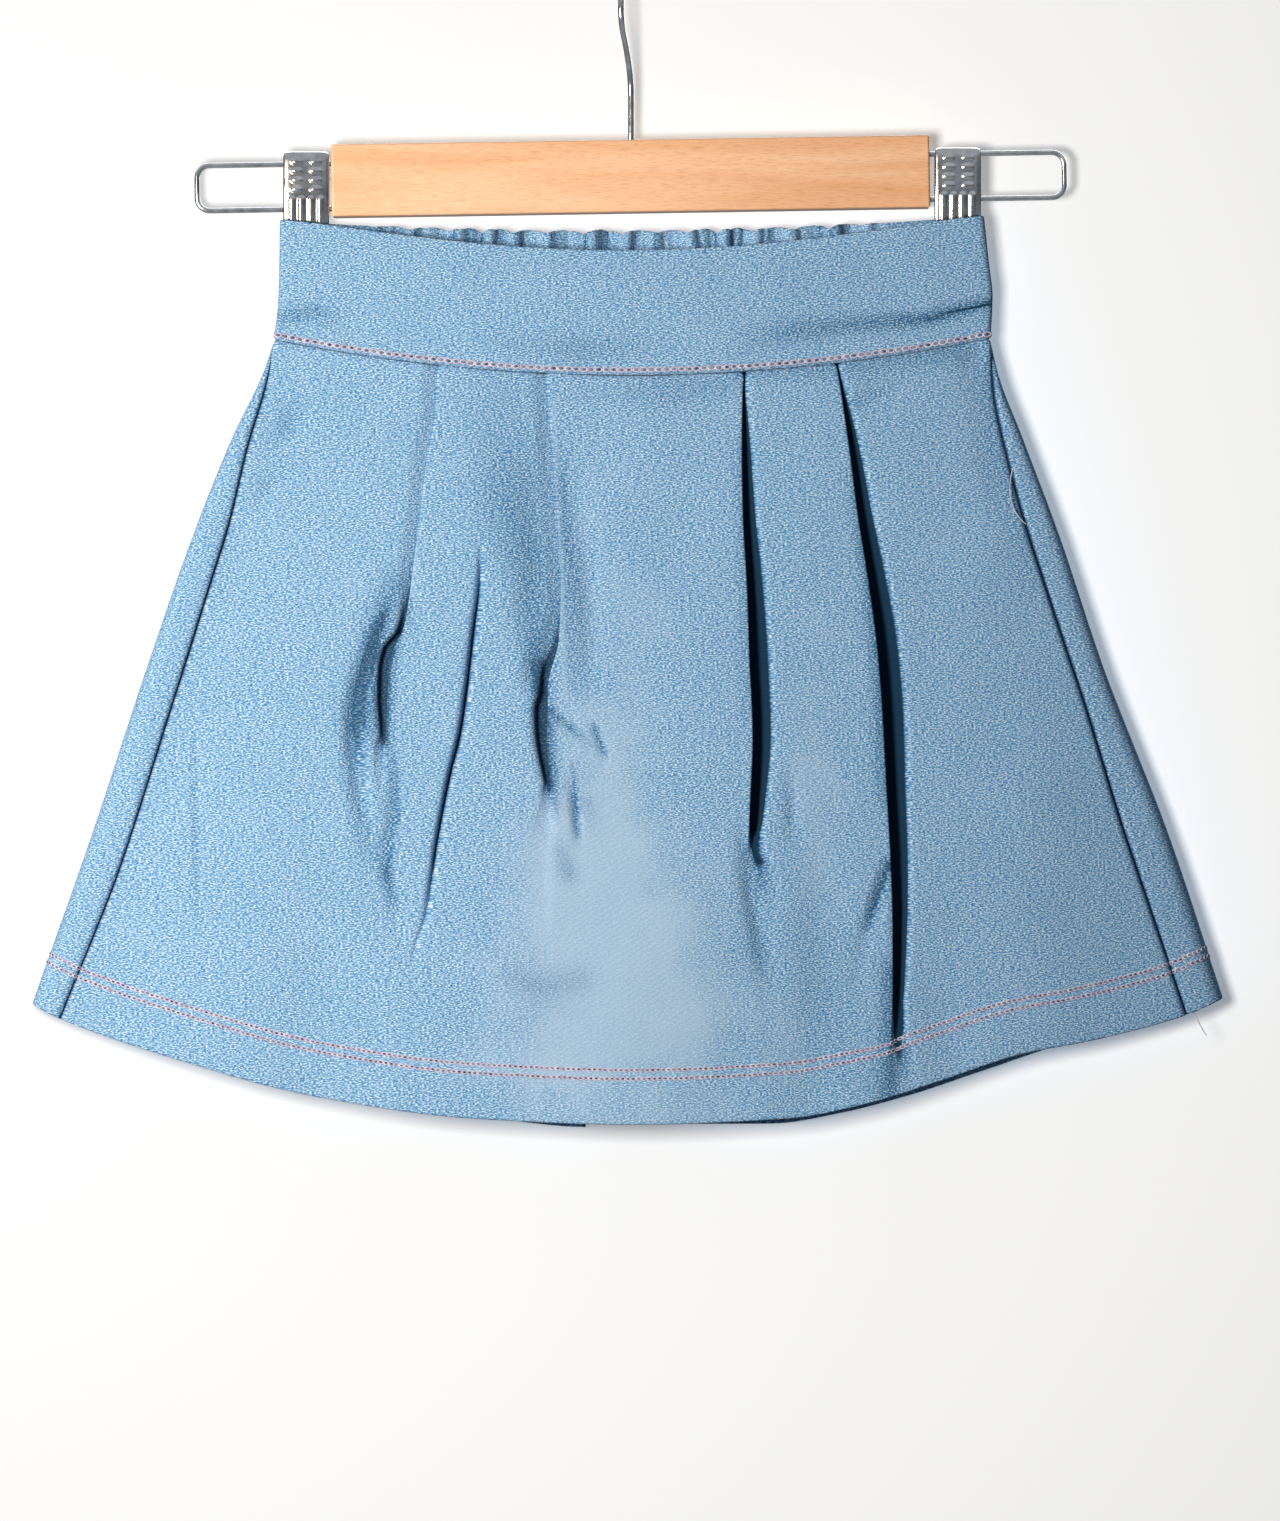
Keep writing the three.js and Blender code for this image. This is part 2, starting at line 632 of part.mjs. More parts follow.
/** Hook wire: stem, bend out and round top, in a plane turned about the stem. */
function hookGeometry() {
  const centre = HOOK.wire / 2 - HOOK.radius;
  const onTop = (degrees) => new THREE.Vector2(
    HOOK.radius * Math.cos(degToRad(degrees)),
    centre + HOOK.radius * Math.sin(degToRad(degrees)),
  );
  const stemFoot = new THREE.Vector2(0, -HOOK.rise + SEAM_GAP);
  const stemHead = new THREE.Vector2(0, -HOOK.rise + HOOK.straight);
  const meet = onTop(HOOK.leaves);
  const pull = HOOK.radius / 2;
  const heading = new THREE.Vector2(meet.y - centre, -meet.x).normalize();
  const bend = new THREE.CubicBezierCurve(
    stemHead,
    new THREE.Vector2(0, stemHead.y + pull),
    meet.clone().addScaledVector(heading, -pull),
    meet,
  );
  const flat = [
    stemFoot,
    ...bend.getPoints(8),
    ...steps(HOOK.leaves, HOOK.tip, 16).slice(1).map(onTop),
  ];
  const turn = degToRad(HOOK.turn);
  const points = flat.map((p) => new THREE.Vector3(p.x * Math.cos(turn), p.x * Math.sin(turn), p.y));
  const across = new THREE.Vector3(Math.sin(turn), -Math.cos(turn), 0);
  return wireGeometry(points, across, HOOK.wire, HOOK.sides);
}

/** Clip bent from one sheet: its profile is a strip along the folded centre line. */
function clipGeometry() {
  const right = CLIP_PROFILE.map(({ out, drop }) => new THREE.Vector2(out, -drop));
  const left = right.map((p) => new THREE.Vector2(-p.x, p.y)).reverse();
  const line = [...left, ...right];
  const offset = (amount) => line.map((p, k) => {
    const before = line[Math.max(k - 1, 0)];
    const after = line[Math.min(k + 1, line.length - 1)];
    const along = new THREE.Vector2().subVectors(after, before).normalize();
    return new THREE.Vector2(p.x - along.y * amount, p.y + along.x * amount);
  });
  const strip = new THREE.Shape([...offset(CLIP.sheet / 2), ...offset(-CLIP.sheet / 2).reverse()]);
  const geometry = new THREE.ExtrudeGeometry(strip, { depth: CLIP.width, bevelEnabled: false });
  geometry.translate(0, 0, -CLIP.width / 2);
  geometry.rotateX(Math.PI / 2);
  geometry.rotateZ(Math.PI / 2);
  return geometry;
}

// --------------------------------------------------------------------------- assembly

const skirt = new THREE.Group();
skirt.add(frontBand(), backBand(), frontPanel(), backPanel(-1), backPanel(1));

const barAndLoops = new THREE.Group();
const bar = namedMesh('hanger_bar', barGeometry(), WOOD);
bar.position.z = -BAR.height / 2;
barAndLoops.add(
  bar,
  namedMesh('hanger_loop_left', loopGeometry(-1), CHROME),
  namedMesh('hanger_loop_right', loopGeometry(1), CHROME),
);
barAndLoops.position.set(BAR.centreX, 0, -HOOK.rise);
barAndLoops.rotation.y = -degToRad(BAR.tilt);

const hanger = new THREE.Group();
hanger.add(barAndLoops, namedMesh('hanger_hook', hookGeometry(), CHROME));
CLIPS.forEach(({ name, centreX, top }) => {
  const clip = namedMesh(name, clipGeometry(), CHROME);
  clip.position.set(centreX, 0, top);
  hanger.add(clip);
});

const hungSkirt = new THREE.Group();
hungSkirt.add(skirt, hanger);

export default hungSkirt;
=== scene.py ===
"""Child's pull-on denim skirt, clipped to a small wooden hanger.

The garment is worked out in millimetres as level sections stacked from the waist to the
hem. `t` runs from 0 at the top of a piece to 1 at its lower edge. +Z is up, the front of
the skirt faces -Y, and the origin is where the hook bears on its rail.
"""

import math

import bpy
import numpy as np
from bpy.props import FloatProperty, FloatVectorProperty, IntProperty, PointerProperty
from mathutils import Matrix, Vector


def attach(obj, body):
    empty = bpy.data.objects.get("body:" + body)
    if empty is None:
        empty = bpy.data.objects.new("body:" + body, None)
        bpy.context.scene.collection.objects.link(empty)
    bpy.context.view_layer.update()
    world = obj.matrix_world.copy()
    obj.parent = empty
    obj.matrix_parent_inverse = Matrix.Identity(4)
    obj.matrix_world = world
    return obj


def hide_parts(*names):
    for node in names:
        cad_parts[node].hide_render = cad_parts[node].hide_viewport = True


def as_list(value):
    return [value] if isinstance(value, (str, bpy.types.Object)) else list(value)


bl_info = {
    "name": "Denim skirt on a clip hanger",
    "version": (1, 0, 0),
    "blender": (4, 5, 0),
    "location": "View3D > Sidebar > Skirt",
    "description": "Builds a child's pleated denim skirt on a wooden clip hanger",
    "category": "Add Mesh",
}

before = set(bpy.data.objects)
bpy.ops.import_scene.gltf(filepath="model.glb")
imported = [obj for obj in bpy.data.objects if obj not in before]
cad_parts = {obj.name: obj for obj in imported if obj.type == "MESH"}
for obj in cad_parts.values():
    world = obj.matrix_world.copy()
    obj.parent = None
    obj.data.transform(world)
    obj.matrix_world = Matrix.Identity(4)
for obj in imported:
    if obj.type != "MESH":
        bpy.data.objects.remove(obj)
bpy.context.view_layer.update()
MM = 0.001


def linear(code):
    """Linear RGBA of an sRGB hex colour."""
    parts = [int(code[k:k + 2], 16) / 255 for k in (1, 3, 5)]
    return (*[c / 12.92 if c <= 0.04045 else ((c + 0.055) / 1.055) ** 2.4 for c in parts], 1.0)


# ------------------------------------------------------------------------ pattern tables

class Table:
    """Rows of named columns. Between rows a column follows a cubic that never overshoots."""

    def __init__(self, columns, *rows):
        self.column = dict(zip(columns.split(), np.array(rows, float).T))
        self.key = next(iter(self.column.values()))

    def read(self, name, at):
        """Cubic through the rows: each slope is the harmonic mean of its two neighbours'."""
        value = self.column[name]
        width = np.diff(self.key)
        grade = np.diff(value) / width
        before, after = grade[:-1], grade[1:]
        total = np.where(before * after > 0, before + after, 1.0)
        inner = np.where(before * after > 0, 2 * before * after / total, 0.0)
        slope = np.concatenate((grade[:1], inner, grade[-1:]))
        at = np.clip(at, self.key[0], self.key[-1])
        k = np.clip(np.searchsorted(self.key, at) - 1, 0, len(width) - 1)
        s = (at - self.key[k]) / width[k]
        rise = value[k + 1] - value[k]
        m0, m1 = slope[k] * width[k], slope[k + 1] * width[k]
        return value[k] + s * (m0 + s * (3 * rise - 2 * m0 - m1 + s * (m0 + m1 - 2 * rise)))


ACROSS = np.array((0.0, 1.0, 0.0))
SEAM_GAP = 0.3
FRONT_Y = -7.2
CROWN_POWER = 1.25

# Grids of the faces that the stitching follows, with their outward normals, by name.
FACES = {}

# Level sections of the closed tube: outline, place of the side seams along the side fold,
# depth and rounding of that fold, and how far front and back bow apart.
LEVEL_COLUMNS = "t left_edge left_wrap right_wrap right_edge fold corner front_crown back_crown"
BAND_LEVELS = Table(
    LEVEL_COLUMNS,
    (0.00, -140.3, 4.6, 4.6, 141.1, 7.2, 1.8, 2.6, 0),
    (0.40, -140.6, 4.6, 4.6, 143.2, 7.2, 1.8, 3.4, 0),
    (0.65, -140.9, 4.6, 4.6, 144.5, 7.2, 1.8, 3.8, 0),
    (1.00, -142.7, 4.6, 4.6, 143.7, 7.2, 1.8, 4.0, 0),
)
SKIRT_LEVELS = Table(
    LEVEL_COLUMNS,
    (0.00, -142.7, 4.6, 4.6, 143.7, 7.2, 1.8, 4.0, 0.0),
    (0.05, -147.1, 0.6, 0.6, 146.5, 7.3, 2.4, 4.3, 0.3),
    (0.15, -159.8, -3.2, -3.9, 156.6, 7.8, 3.6, 5.4, 1.0),
    (0.30, -175.8, -7.8, -6.7, 171.5, 9.0, 4.4, 8.5, 2.2),
    (0.50, -194.3, -8.4, -5.9, 189.2, 10.4, 5.1, 13.5, 3.6),
    (0.75, -216.2, -8.2, -9.7, 214.9, 11.6, 5.7, 19.5, 4.6),
    (1.00, -239.6, -5.2, -8.7, 236.9, 12.4, 6.1, 23.0, 5.0),
)

# Edge lines: height at the sides, rise to the right, sag of the middle and its power.
FRONT_TOP = (-100.1, 0.8, 13.1, 1.3)
BACK_TOP = (-99.9, 1.0, 5.2, 1.0)
FRONT_WAIST = (-148.0, 0.2, 14.6, 1.0)
BACK_WAIST = (-148.0, 0.2, 6.0, 1.0)
FRONT_HEM = Table(
    "x z",
    (-239.6, -413.6), (-228.3, -419.2), (-181, -435.2), (-123.5, -450.1), (-60, -458.3),
    (0, -460.4), (62.5, -458.1), (93, -452.5), (121, -444.1), (156, -432.8), (184, -427.6),
    (222.5, -417.6), (236.9, -411.2),
)
BACK_HEM = Table(
    "x z",
    (-239.6, -413.6), (-228.3, -419.2), (-181, -435.2), (-123.5, -450.1), (-60, -459.1),
    (-17.6, -463.2), (19.6, -462.2), (56.5, -461.8), (83.8, -457.6), (112, -450.4),
    (140, -441), (172, -430.2), (222.5, -417.4), (236.9, -411.2),
)

# Knife pleats, left to right: side faced by the fold edge, then place of that edge, turn of
# the cloth in degrees, straight run underneath, width of the open gap beside the edge, and
# how steeply the lower layer comes forward at its far side, from 0, a soft slope, to 1.
PLEAT_COLUMNS = "t edge turn run gap wall"
PLEATS = (
    (-1, Table(
        PLEAT_COLUMNS,
        (0.00, -77.0, 179.6, 12, 4, 0), (0.07, -78.2, 179.6, 12, 4, 0),
        (0.13, -81.4, 179.6, 12, 4, 0), (0.21, -84.2, 179.4, 11, 4, 0),
        (0.27, -86.6, 178, 11, 4, 0), (0.315, -88.2, 173, 10, 2.4, 0.4),
        (0.36, -90.6, 154, 10, 2.4, 0.8), (0.39, -94.6, 140, 7, 4.6, 1),
        (0.42, -96.4, 138, 6, 4.5, 1), (0.46, -97.0, 138, 5.4, 4.2, 1),
        (0.50, -97.4, 112, 3.4, 2.6, 0.8), (0.535, -97.6, 46, 1.6, 2, 0.2),
        (0.58, -96.4, 14, 2, 5, 0), (0.66, -95.6, 6, 3, 12, 0), (0.78, -95.0, 2, 3, 16, 0),
        (1.00, -95.0, 1.5, 3, 16, 0),
    )),
    (-1, Table(
        PLEAT_COLUMNS,
        (0.00, -33.7, 179.6, 10, 4, 0), (0.084, -31.7, 179.6, 10, 4, 0),
        (0.15, -30.1, 179.4, 10, 4, 0), (0.21, -28.9, 179, 9, 4, 0),
        (0.288, -27.7, 178, 8, 4, 0), (0.357, -28.5, 173, 8, 5, 0.2),
        (0.424, -32.9, 138, 6, 3.5, 1), (0.452, -32.9, 134, 5.6, 5.6, 1),
        (0.491, -33.3, 134, 5, 4.6, 1), (0.535, -32.1, 122, 3.6, 3.4, 1),
        (0.572, -30.8, 50, 1.8, 2, 0.3), (0.61, -30.4, 14, 2, 5, 0),
        (0.68, -31.0, 6, 3, 12, 0), (0.78, -32.0, 2, 3, 16, 0), (1.00, -36.0, 1.5, 3, 16, 0),
    )),
    (1, Table(
        PLEAT_COLUMNS,
        (0.00, 44.9, 176, 12, 0.6, 0.6), (0.03, 44.4, 171, 12, 1.2, 0.8),
        (0.10, 44.1, 158, 8, 3.2, 0.6), (0.19, 44.5, 150, 8, 4.6, 0.5),
        (0.29, 46.1, 140, 8, 6.2, 0.3), (0.39, 47.1, 132, 8, 7.4, 0.3),
        (0.49, 48.3, 128, 8, 7.2, 0.3), (0.575, 47.3, 126, 8, 5.6, 0.5),
        (0.61, 46.9, 118, 7.2, 4.6, 0.5), (0.632, 46.7, 60, 2.4, 2.6, 0.3),
        (0.67, 46.6, 14, 3, 6, 0), (0.78, 48.0, 5, 3, 12, 0), (1.00, 54.0, 1.5, 3, 16, 0),
    )),
    (1, Table(
        PLEAT_COLUMNS,
        (0.00, 81.8, 176, 12, 0.6, 0.6), (0.04, 83.7, 170, 12, 1.5, 0.8),
        (0.12, 87.0, 157, 8, 3.8, 0.6), (0.218, 90.6, 148, 8, 5.4, 0.5),
        (0.298, 94.2, 139, 8, 6.8, 0.3), (0.391, 97.8, 132, 8, 8, 0.3),
        (0.472, 99.8, 129, 8, 8.4, 0.3), (0.60, 101.8, 128, 8, 7.4, 0.3),
        (0.704, 103.4, 127, 7.2, 6.4, 0.5), (0.785, 104.0, 125, 7.2, 5.4, 0.5),
        (0.86, 104.0, 112, 6, 4.2, 0.4), (0.91, 103.6, 66, 3, 3, 0.2),
        (0.95, 103.0, 20, 2.4, 5, 0), (1.00, 102.6, 6, 3, 8, 0),
    )),
)

# A pressed slit between the two left pleats.
CREASE = Table(
    "t x depth",
    (0.000, -58.0, 0.0), (0.236, -59.8, 0.0), (0.256, -60.1, 1.6), (0.287, -60.5, 2.8),
    (0.354, -62.9, 4.4), (0.425, -65.3, 5.0), (0.492, -68.2, 5.2), (0.542, -71.8, 5.0),
    (0.633, -77.0, 4.4), (0.688, -79.4, 3.0), (0.743, -81.8, 1.8), (0.790, -86.2, 0.9),
    (0.830, -87.0, 0.0), (1.000, -86.0, 0.0),
)
CREASE_COLUMNS = (-3.4, -2.3, -1.6, -1.1, -0.7, -0.25, 0.25, 0.7, 1.1, 1.6, 2.3, 3.4)

GATHER_WAVES = 16
GATHER_SPAN = 0.78
GATHER_DEPTH = 1.9
RUFFLE_HEIGHT = 0.8
BAND_HALF_WIDTH = 142
VENT_START = 0.74
VENT_HALF_WIDTH = 18.4

# Distances of the stitch rows from the edge of the hem and from the waist seam.
HEM_ROWS = (17.4, 20.9)
WAIST_ROW = 2.0

# Where the cloth is drawn darker, partly with dye that the wash left in the crumpled cloth
# and partly with painted shade in the creases, hollows and beside the seams: rows as for the
# creases below, but with a strength from 0 to 1 in place of a depth.
INDIGO_AND_SHADE_MARKS = (
    ((-92, -245, 3, 0.3), (-103, -268, 4, 0.6), (-109, -288, 4.6, 0.85), (-110, -300, 5, 0.95),
     (-109.5, -312, 4.4, 0.85), (-110, -327, 3.2, 0.5), (-105.5, -344, 4, 0.4),
     (-100.5, -359, 4, 0.35), (-94, -375, 4, 0.1)),
    ((-96, -242, 4, 0.3), (-101, -262, 6, 0.5), (-103, -282, 7, 0.5), (-103, -302, 5, 0.5)),
    ((-98, -308, 1.8, 0.5), (-94.5, -322, 2.2, 0.75), (-93.4, -337, 2.4, 0.85),
     (-96, -348, 2.8, 0.7), (-97, -361, 2.6, 0.7), (-94, -373, 3, 0.3)),
    ((-50, -178, 20, 0.2), (-47, -212, 15, 0.5), (-40, -240, 11, 0.58), (-38, -262, 8, 0.62),
     (-37.5, -276, 5.4, 0.8), (-36.5, -284, 4, 0.9)),
    ((-37, -279, 2.6, 0.9), (-36, -290, 4, 1.2), (-34.8, -302, 3.6, 1.2), (-33, -314, 2.8, 1.2),
     (-31.5, -325, 2.2, 1), (-30.4, -337, 2, 0.3)),
    ((-88, -254, 1.2, 0.7), (-93.4, -267, 1.8, 1.1), (-97, -277, 2.4, 1.3),
     (-97, -291, 2.1, 1.3), (-97, -304, 1.6, 1), (-96.6, -312, 1.4, 0.2)),
    ((-28, -186, 3, 0), (-27.5, -208, 3, 0.5), (-25.5, -230, 3.4, 0.45), (-21, -256, 6, 0.4),
     (-20.5, -278, 6, 0.25), (-19, -294, 5, 0)),
    ((-22.8, -318, 1, 0.3), (-22.4, -332, 1.5, 0.95), (-21.2, -347, 1.6, 0.6)),
    ((-18, -334, 3.6, 0.3), (-15, -342, 4, 0.1)),
    ((-32, -297, 1.5, 0.8), (-24, -303.5, 1.5, 0.85), (-17, -310, 1.4, 0.2)),
    ((-14.4, -304, 1.4, 0.8), (-10.8, -313, 1.4, 0.8)),
    ((-28, -352, 3.6, 0.2), (-25, -362, 3.6, 0.35)),
    ((-48, -402, 5, 0.22), (-36, -407, 6, 0.3), (-20, -404, 6, 0.22)),
    ((47, -352, 3.4, 0.55), (47.6, -372, 4, 0.4), (51, -393, 4, 0.5), (54, -408, 4, 0.1)),
    ((62.5, -322, 2, 0.1), (63, -338, 2, 0.42), (63, -351, 2, 0.1)),
    ((102.6, -358, 2.2, 1.4), (98.2, -371, 2.2, 1.5), (94, -382, 2.6, 0.7)),
    ((88, -204, 2.6, 0.35), (94.4, -244, 3.2, 0.65), (99, -285, 3.4, 0.68), (100.6, -332, 3, 0.5)),
    ((43, -190, 2.4, 0.2), (44.5, -240, 2.6, 0.3), (46, -300, 2.4, 0.2)),
    ((103.4, -400, 4, 0.8), (103, -420, 4.4, 0.72), (103, -438, 4.6, 0.8), (102, -458, 6, 0.55)),
    ((142, -156, 8, 0.3), (144.7, -172, 7, 0.5), (149, -192, 7, 0.45), (154, -212, 8, 0.35),
     (162, -244, 8, 0.2)),
    ((87, -176, 2.4, 0.4), (97.8, -170, 2.4, 0.4), (108, -164, 3, 0.1)),
    ((-132, -173, 4, 0.15), (-137.5, -182, 4, 0.38), (-143, -192, 4, 0.1)),
    ((-139, -198, 3.5, 0.1), (-145, -205, 3.5, 0.32), (-151, -213, 3.5, 0.1)),
    ((-175, -303, 1.2, 0.1), (-174, -344, 1.4, 0.45), (-173, -384, 1.6, 0.1)),
    ((44, -162.5, 3, 0.25), (84, -160, 4, 0.35), (130, -152, 5, 0.45)),
    ((-20, -168, 4, 0.1), (10, -170, 6, 0.3), (40, -166, 5, 0.25)),
    ((72, -370, 10, 0.1), (76, -410, 11, 0.26), (80, -440, 12, 0.15)),
)
# Where the cloth is drawn paler, in rows of the same kind: a smooth washed-out patch low on the
# front, which is partly painted light where the cloth bulges towards the light, and thin painted
# highlights along the fold edges of the two left pleats.
FADED_AND_LIT_MARKS = (
    ((-6, -190, 16, 0), (-4, -240, 22, 0.3), (-8, -286, 24, 0.35), (-14, -320, 24, 0.6),
     (-14, -360, 34, 1), (-6, -405, 42, 1), (-4, -436, 50, 0.9), (-3, -446, 56, 0.5),
     (-2, -464, 60, 0.4)),
    ((66, -270, 12, 0.15), (74, -330, 14, 0.3), (70, -370, 14, 0.25)),
    ((-31.3, -172, 0.9, 0.6), (-29.7, -197, 0.9, 0.9), (-28.4, -217, 0.9, 0.9),
     (-27.2, -240, 0.9, 0.9), (-27.4, -258, 0.9, 0.9), (-26, -290, 0.9, 0.5)),
    ((-78.2, -172, 0.8, 0.4), (-82, -195, 0.8, 0.6), (-86, -232, 0.8, 0.7), (-88, -252, 0.8, 0.5)),
)

# Sharp folds between the gathers of the elastic, drawn darker, partly with dye that stayed
# there and partly with painted shade: x at the top edge and lean to the right on the way down.
GATHER_FOLDS = (
    (-102.6, 3), (-85.4, -2), (-72.6, 2.4), (-66.1, 1), (-58.5, -1.6), (-47.7, 3.2), (-32.5, 1),
    (-16.4, -2), (-11.6, 3), (11.6, -2), (32.1, 2.4), (38.9, 1), (56.5, -1.6), (73.8, 3.2),
    (79.8, 1),
)

# Creases pressed into the front. Each row is a point of the crease as x, z, the
# half width of its slope and its depth: above zero it is sunk, below zero it stands out.
PANEL_CREASES = (
    ((-89, -246, 3, 0.2), (-97, -262, 4, 1.0), (-107, -282, 3.6, 1.8), (-111, -296, 3.2, 2.6),
     (-111, -312, 3.2, 2.8), (-108, -332, 3.6, 2.2), (-105, -350, 4.5, 1.1),
     (-101, -372, 6, 0.5), (-98, -392, 6, 0)),
    ((-106, -300, 3, 0), (-103.5, -316, 3, -0.8), (-102, -336, 3.4, -0.9), (-100, -354, 4, 0)),
    ((-97, -312, 2, 0.2), (-94.5, -328, 2.4, 1.5), (-95.5, -344, 2.6, 1.8),
     (-98, -352, 3, 0.8), (-95, -366, 2.8, 1.5), (-92.5, -382, 3.5, 0.8), (-88, -402, 5, 0)),
    ((-32, -262, 4, 0), (-36, -272, 4, 1.6), (-40, -284, 3.2, 1.8), (-41.5, -292, 3, 0)),
    ((-25, -322, 1.2, 0), (-22.6, -332, 1.5, 1.6), (-21.4, -342, 1.5, 2.2),
     (-21, -350, 1.8, 0)),
    ((-32, -297, 1.5, 0.4), (-25, -303, 1.6, 1.3), (-17, -310, 1.6, 0)),
    ((-18, -299, 1.4, 0), (-13.5, -306, 1.5, 1.2), (-11, -313, 1.5, 1.3), (-11, -318, 1.6, 0)),
    ((-27, -256, 1.2, 0), (-26.5, -275, 1.2, -0.4), (-26, -294, 1.2, 0)),
    ((-33, -184, 5, 0.2), (-37, -212, 7, 1.2), (-36, -240, 7, 1.5), (-41, -262, 6, 0.8),
     (-44, -280, 6, 0)),
    ((-22, -200, 4, 0), (-17, -236, 5, 0.9), (-16, -272, 5, 0.8), (-16, -300, 6, 0)),
    ((63, -318, 3, 0), (64, -336, 2.6, 0.9), (64, -354, 3, 0)),
    ((45, -346, 3, 1.0), (46.5, -366, 3.2, 1.6), (51, -388, 4, 0.8), (55, -408, 6, 0)),
    ((102, -358, 1.4, 0.6), (98, -371, 1.5, 2.2), (94, -384, 1.8, 1.0), (91, -396, 4, 0.5),
     (90, -420, 6, 0)),
    ((104, -366, 1.2, 0), (101.5, -380, 1.4, -0.8), (101.5, -398, 1.4, 0)),
    ((-175, -303, 1.4, 0), (-174.5, -330, 1.6, 0.7), (-174, -360, 1.8, 0.5), (-173, -384, 2.5, 0)),
    ((-130, -172, 5, 0), (-136, -180, 5, 1.3), (-143, -192, 5, 0.6), (-148, -200, 5, 0)),
    ((-139, -196, 4, 0), (-146, -206, 4, 1.0), (-151, -214, 4, 0)),
    ((-20, -163.5, 2, 0), (-4, -166, 2, -0.8), (10, -165.6, 2, -0.8), (22, -163, 2, 0)),
    ((87, -176, 2.6, 0), (97, -168, 2.6, 1.0), (108, -163, 3, 0)),
    ((131, -160, 3, 0), (138, -154, 3, 1.0), (143, -150, 3, 0)),
    ((138, -160, 6, 0.6), (145, -196, 7, 1.2), (152, -226, 6, 0)),
    ((-150, -300, 22, 0), (-158, -350, 26, -1.6), (-166, -420, 28, -1.2)),
    ((-112, -350, 14, 0), (-118, -400, 16, 1.4), (-124, -450, 16, 1.6)),
    ((20, -330, 26, 0), (14, -390, 30, -1.6), (8, -460, 32, -1.4)),
    ((78, -340, 9, 0), (74, -390, 10, 1.2), (72, -455, 12, 1.4)),
    ((150, -260, 22, 0), (160, -330, 26, -1.8), (168, -420, 28, -1.4)),
    ((122, -380, 12, 0), (126, -420, 12, 1.2), (128, -440, 12, 1.4)),
)
BAND_CREASES = (
    ((143, -133.5, 2.2, 1.5), (120, -139.5, 3, 1.4), (92, -142, 4, 0.9), (66, -145, 4.5, 0.7),
     (42, -150, 5, 0)),
    ((143, -128, 3, -0.5), (118, -133, 4, -0.5), (90, -136, 4, 0)),
    ((-140, -139, 3, 0.7), (-126, -137, 4, 0.7), (-112, -141, 4, 0)),
    ((-60, -150, 5, 0), (-20, -152, 6, 0.5), (20, -152, 6, 0)),
)


# ---------------------------------------------------------------------------- sections

def steps(start, end, count, ends=(True, True)):
    """Columns in equal steps from `start` to `end`, which are numbers or one for each row."""
    s = np.linspace(0, 1, count + 1)[None, :]
    s = s[:, (0 if ends[0] else 1):(None if ends[1] else -1)]
    return start + (end - start) * s


def smoothstep(s):
    """3 s^2 - 2 s^3, held at 0 below and at 1 above."""
    s = np.clip(s, 0, 1)
    return s * s * (3 - 2 * s)


def side_fold(levels, t, side):
    """The path where the cloth folds from front to back: line, arc, line, arc, line.

    Distance q counts from where the front starts to round. Returns the seam's distance,
    the distance where the back begins, and a function from q to x and y.
    """
    name = "left" if side < 0 else "right"
    edge = np.abs(levels.read(name + "_edge", t))
    fold = levels.read("fold", t)
    corner = levels.read("corner", t)
    quarter = math.pi / 2 * corner
    flat = fold - 2 * corner
    end = 2 * quarter + flat

    def at(q):
        angle = (np.clip(q, 0, quarter) + np.clip(q - quarter - flat, 0, quarter)) / corner
        x = edge - corner + np.minimum(q, 0) + corner * np.sin(angle) - np.maximum(q - end, 0)
        y = FRONT_Y + corner * (1 - np.cos(angle)) + np.clip(q - quarter, 0, flat)
        return side * x, y

    return levels.read(name + "_wrap", t), end, at


def line_height(line, u):
    """side + rise u - sag (1 - u^2)^power, with u from -1 at the left to 1 at the right."""
    side, rise, sag, power = line
    return side + rise * u - sag * (1 - u * u) ** power


def bowed(levels, t, x, y, front, height):
    """Lifts a section to its height and bows it by crown (1 - u^2)^1.25."""
    reach = np.where(x < 0, -levels.read("left_edge", t), levels.read("right_edge", t))
    u = np.clip(x / reach, -1, 1)
    crown = np.where(front, -levels.read("front_crown", t), levels.read("back_crown", t))
    return np.stack((x, y + crown * (1 - u * u) ** CROWN_POWER, height(u, t)), axis=-1)


def panel_height(waist, hem):
    """Straight from the waist line down to the hem line in equal shares of t."""
    def height(u, t):
        top = line_height(waist, u) - SEAM_GAP / 2
        reach = np.where(u < 0, -SKIRT_LEVELS.column["left_edge"][-1],
                         SKIRT_LEVELS.column["right_edge"][-1])
        return top + (hem.read("z", u * reach) - top) * t
    return height


def band_height(top_line, waist):
    """Straight from the band's top edge down to the waist seam."""
    def height(u, t):
        top = line_height(top_line, u)
        return top + (line_height(waist, u) + SEAM_GAP / 2 - top) * t
    return height


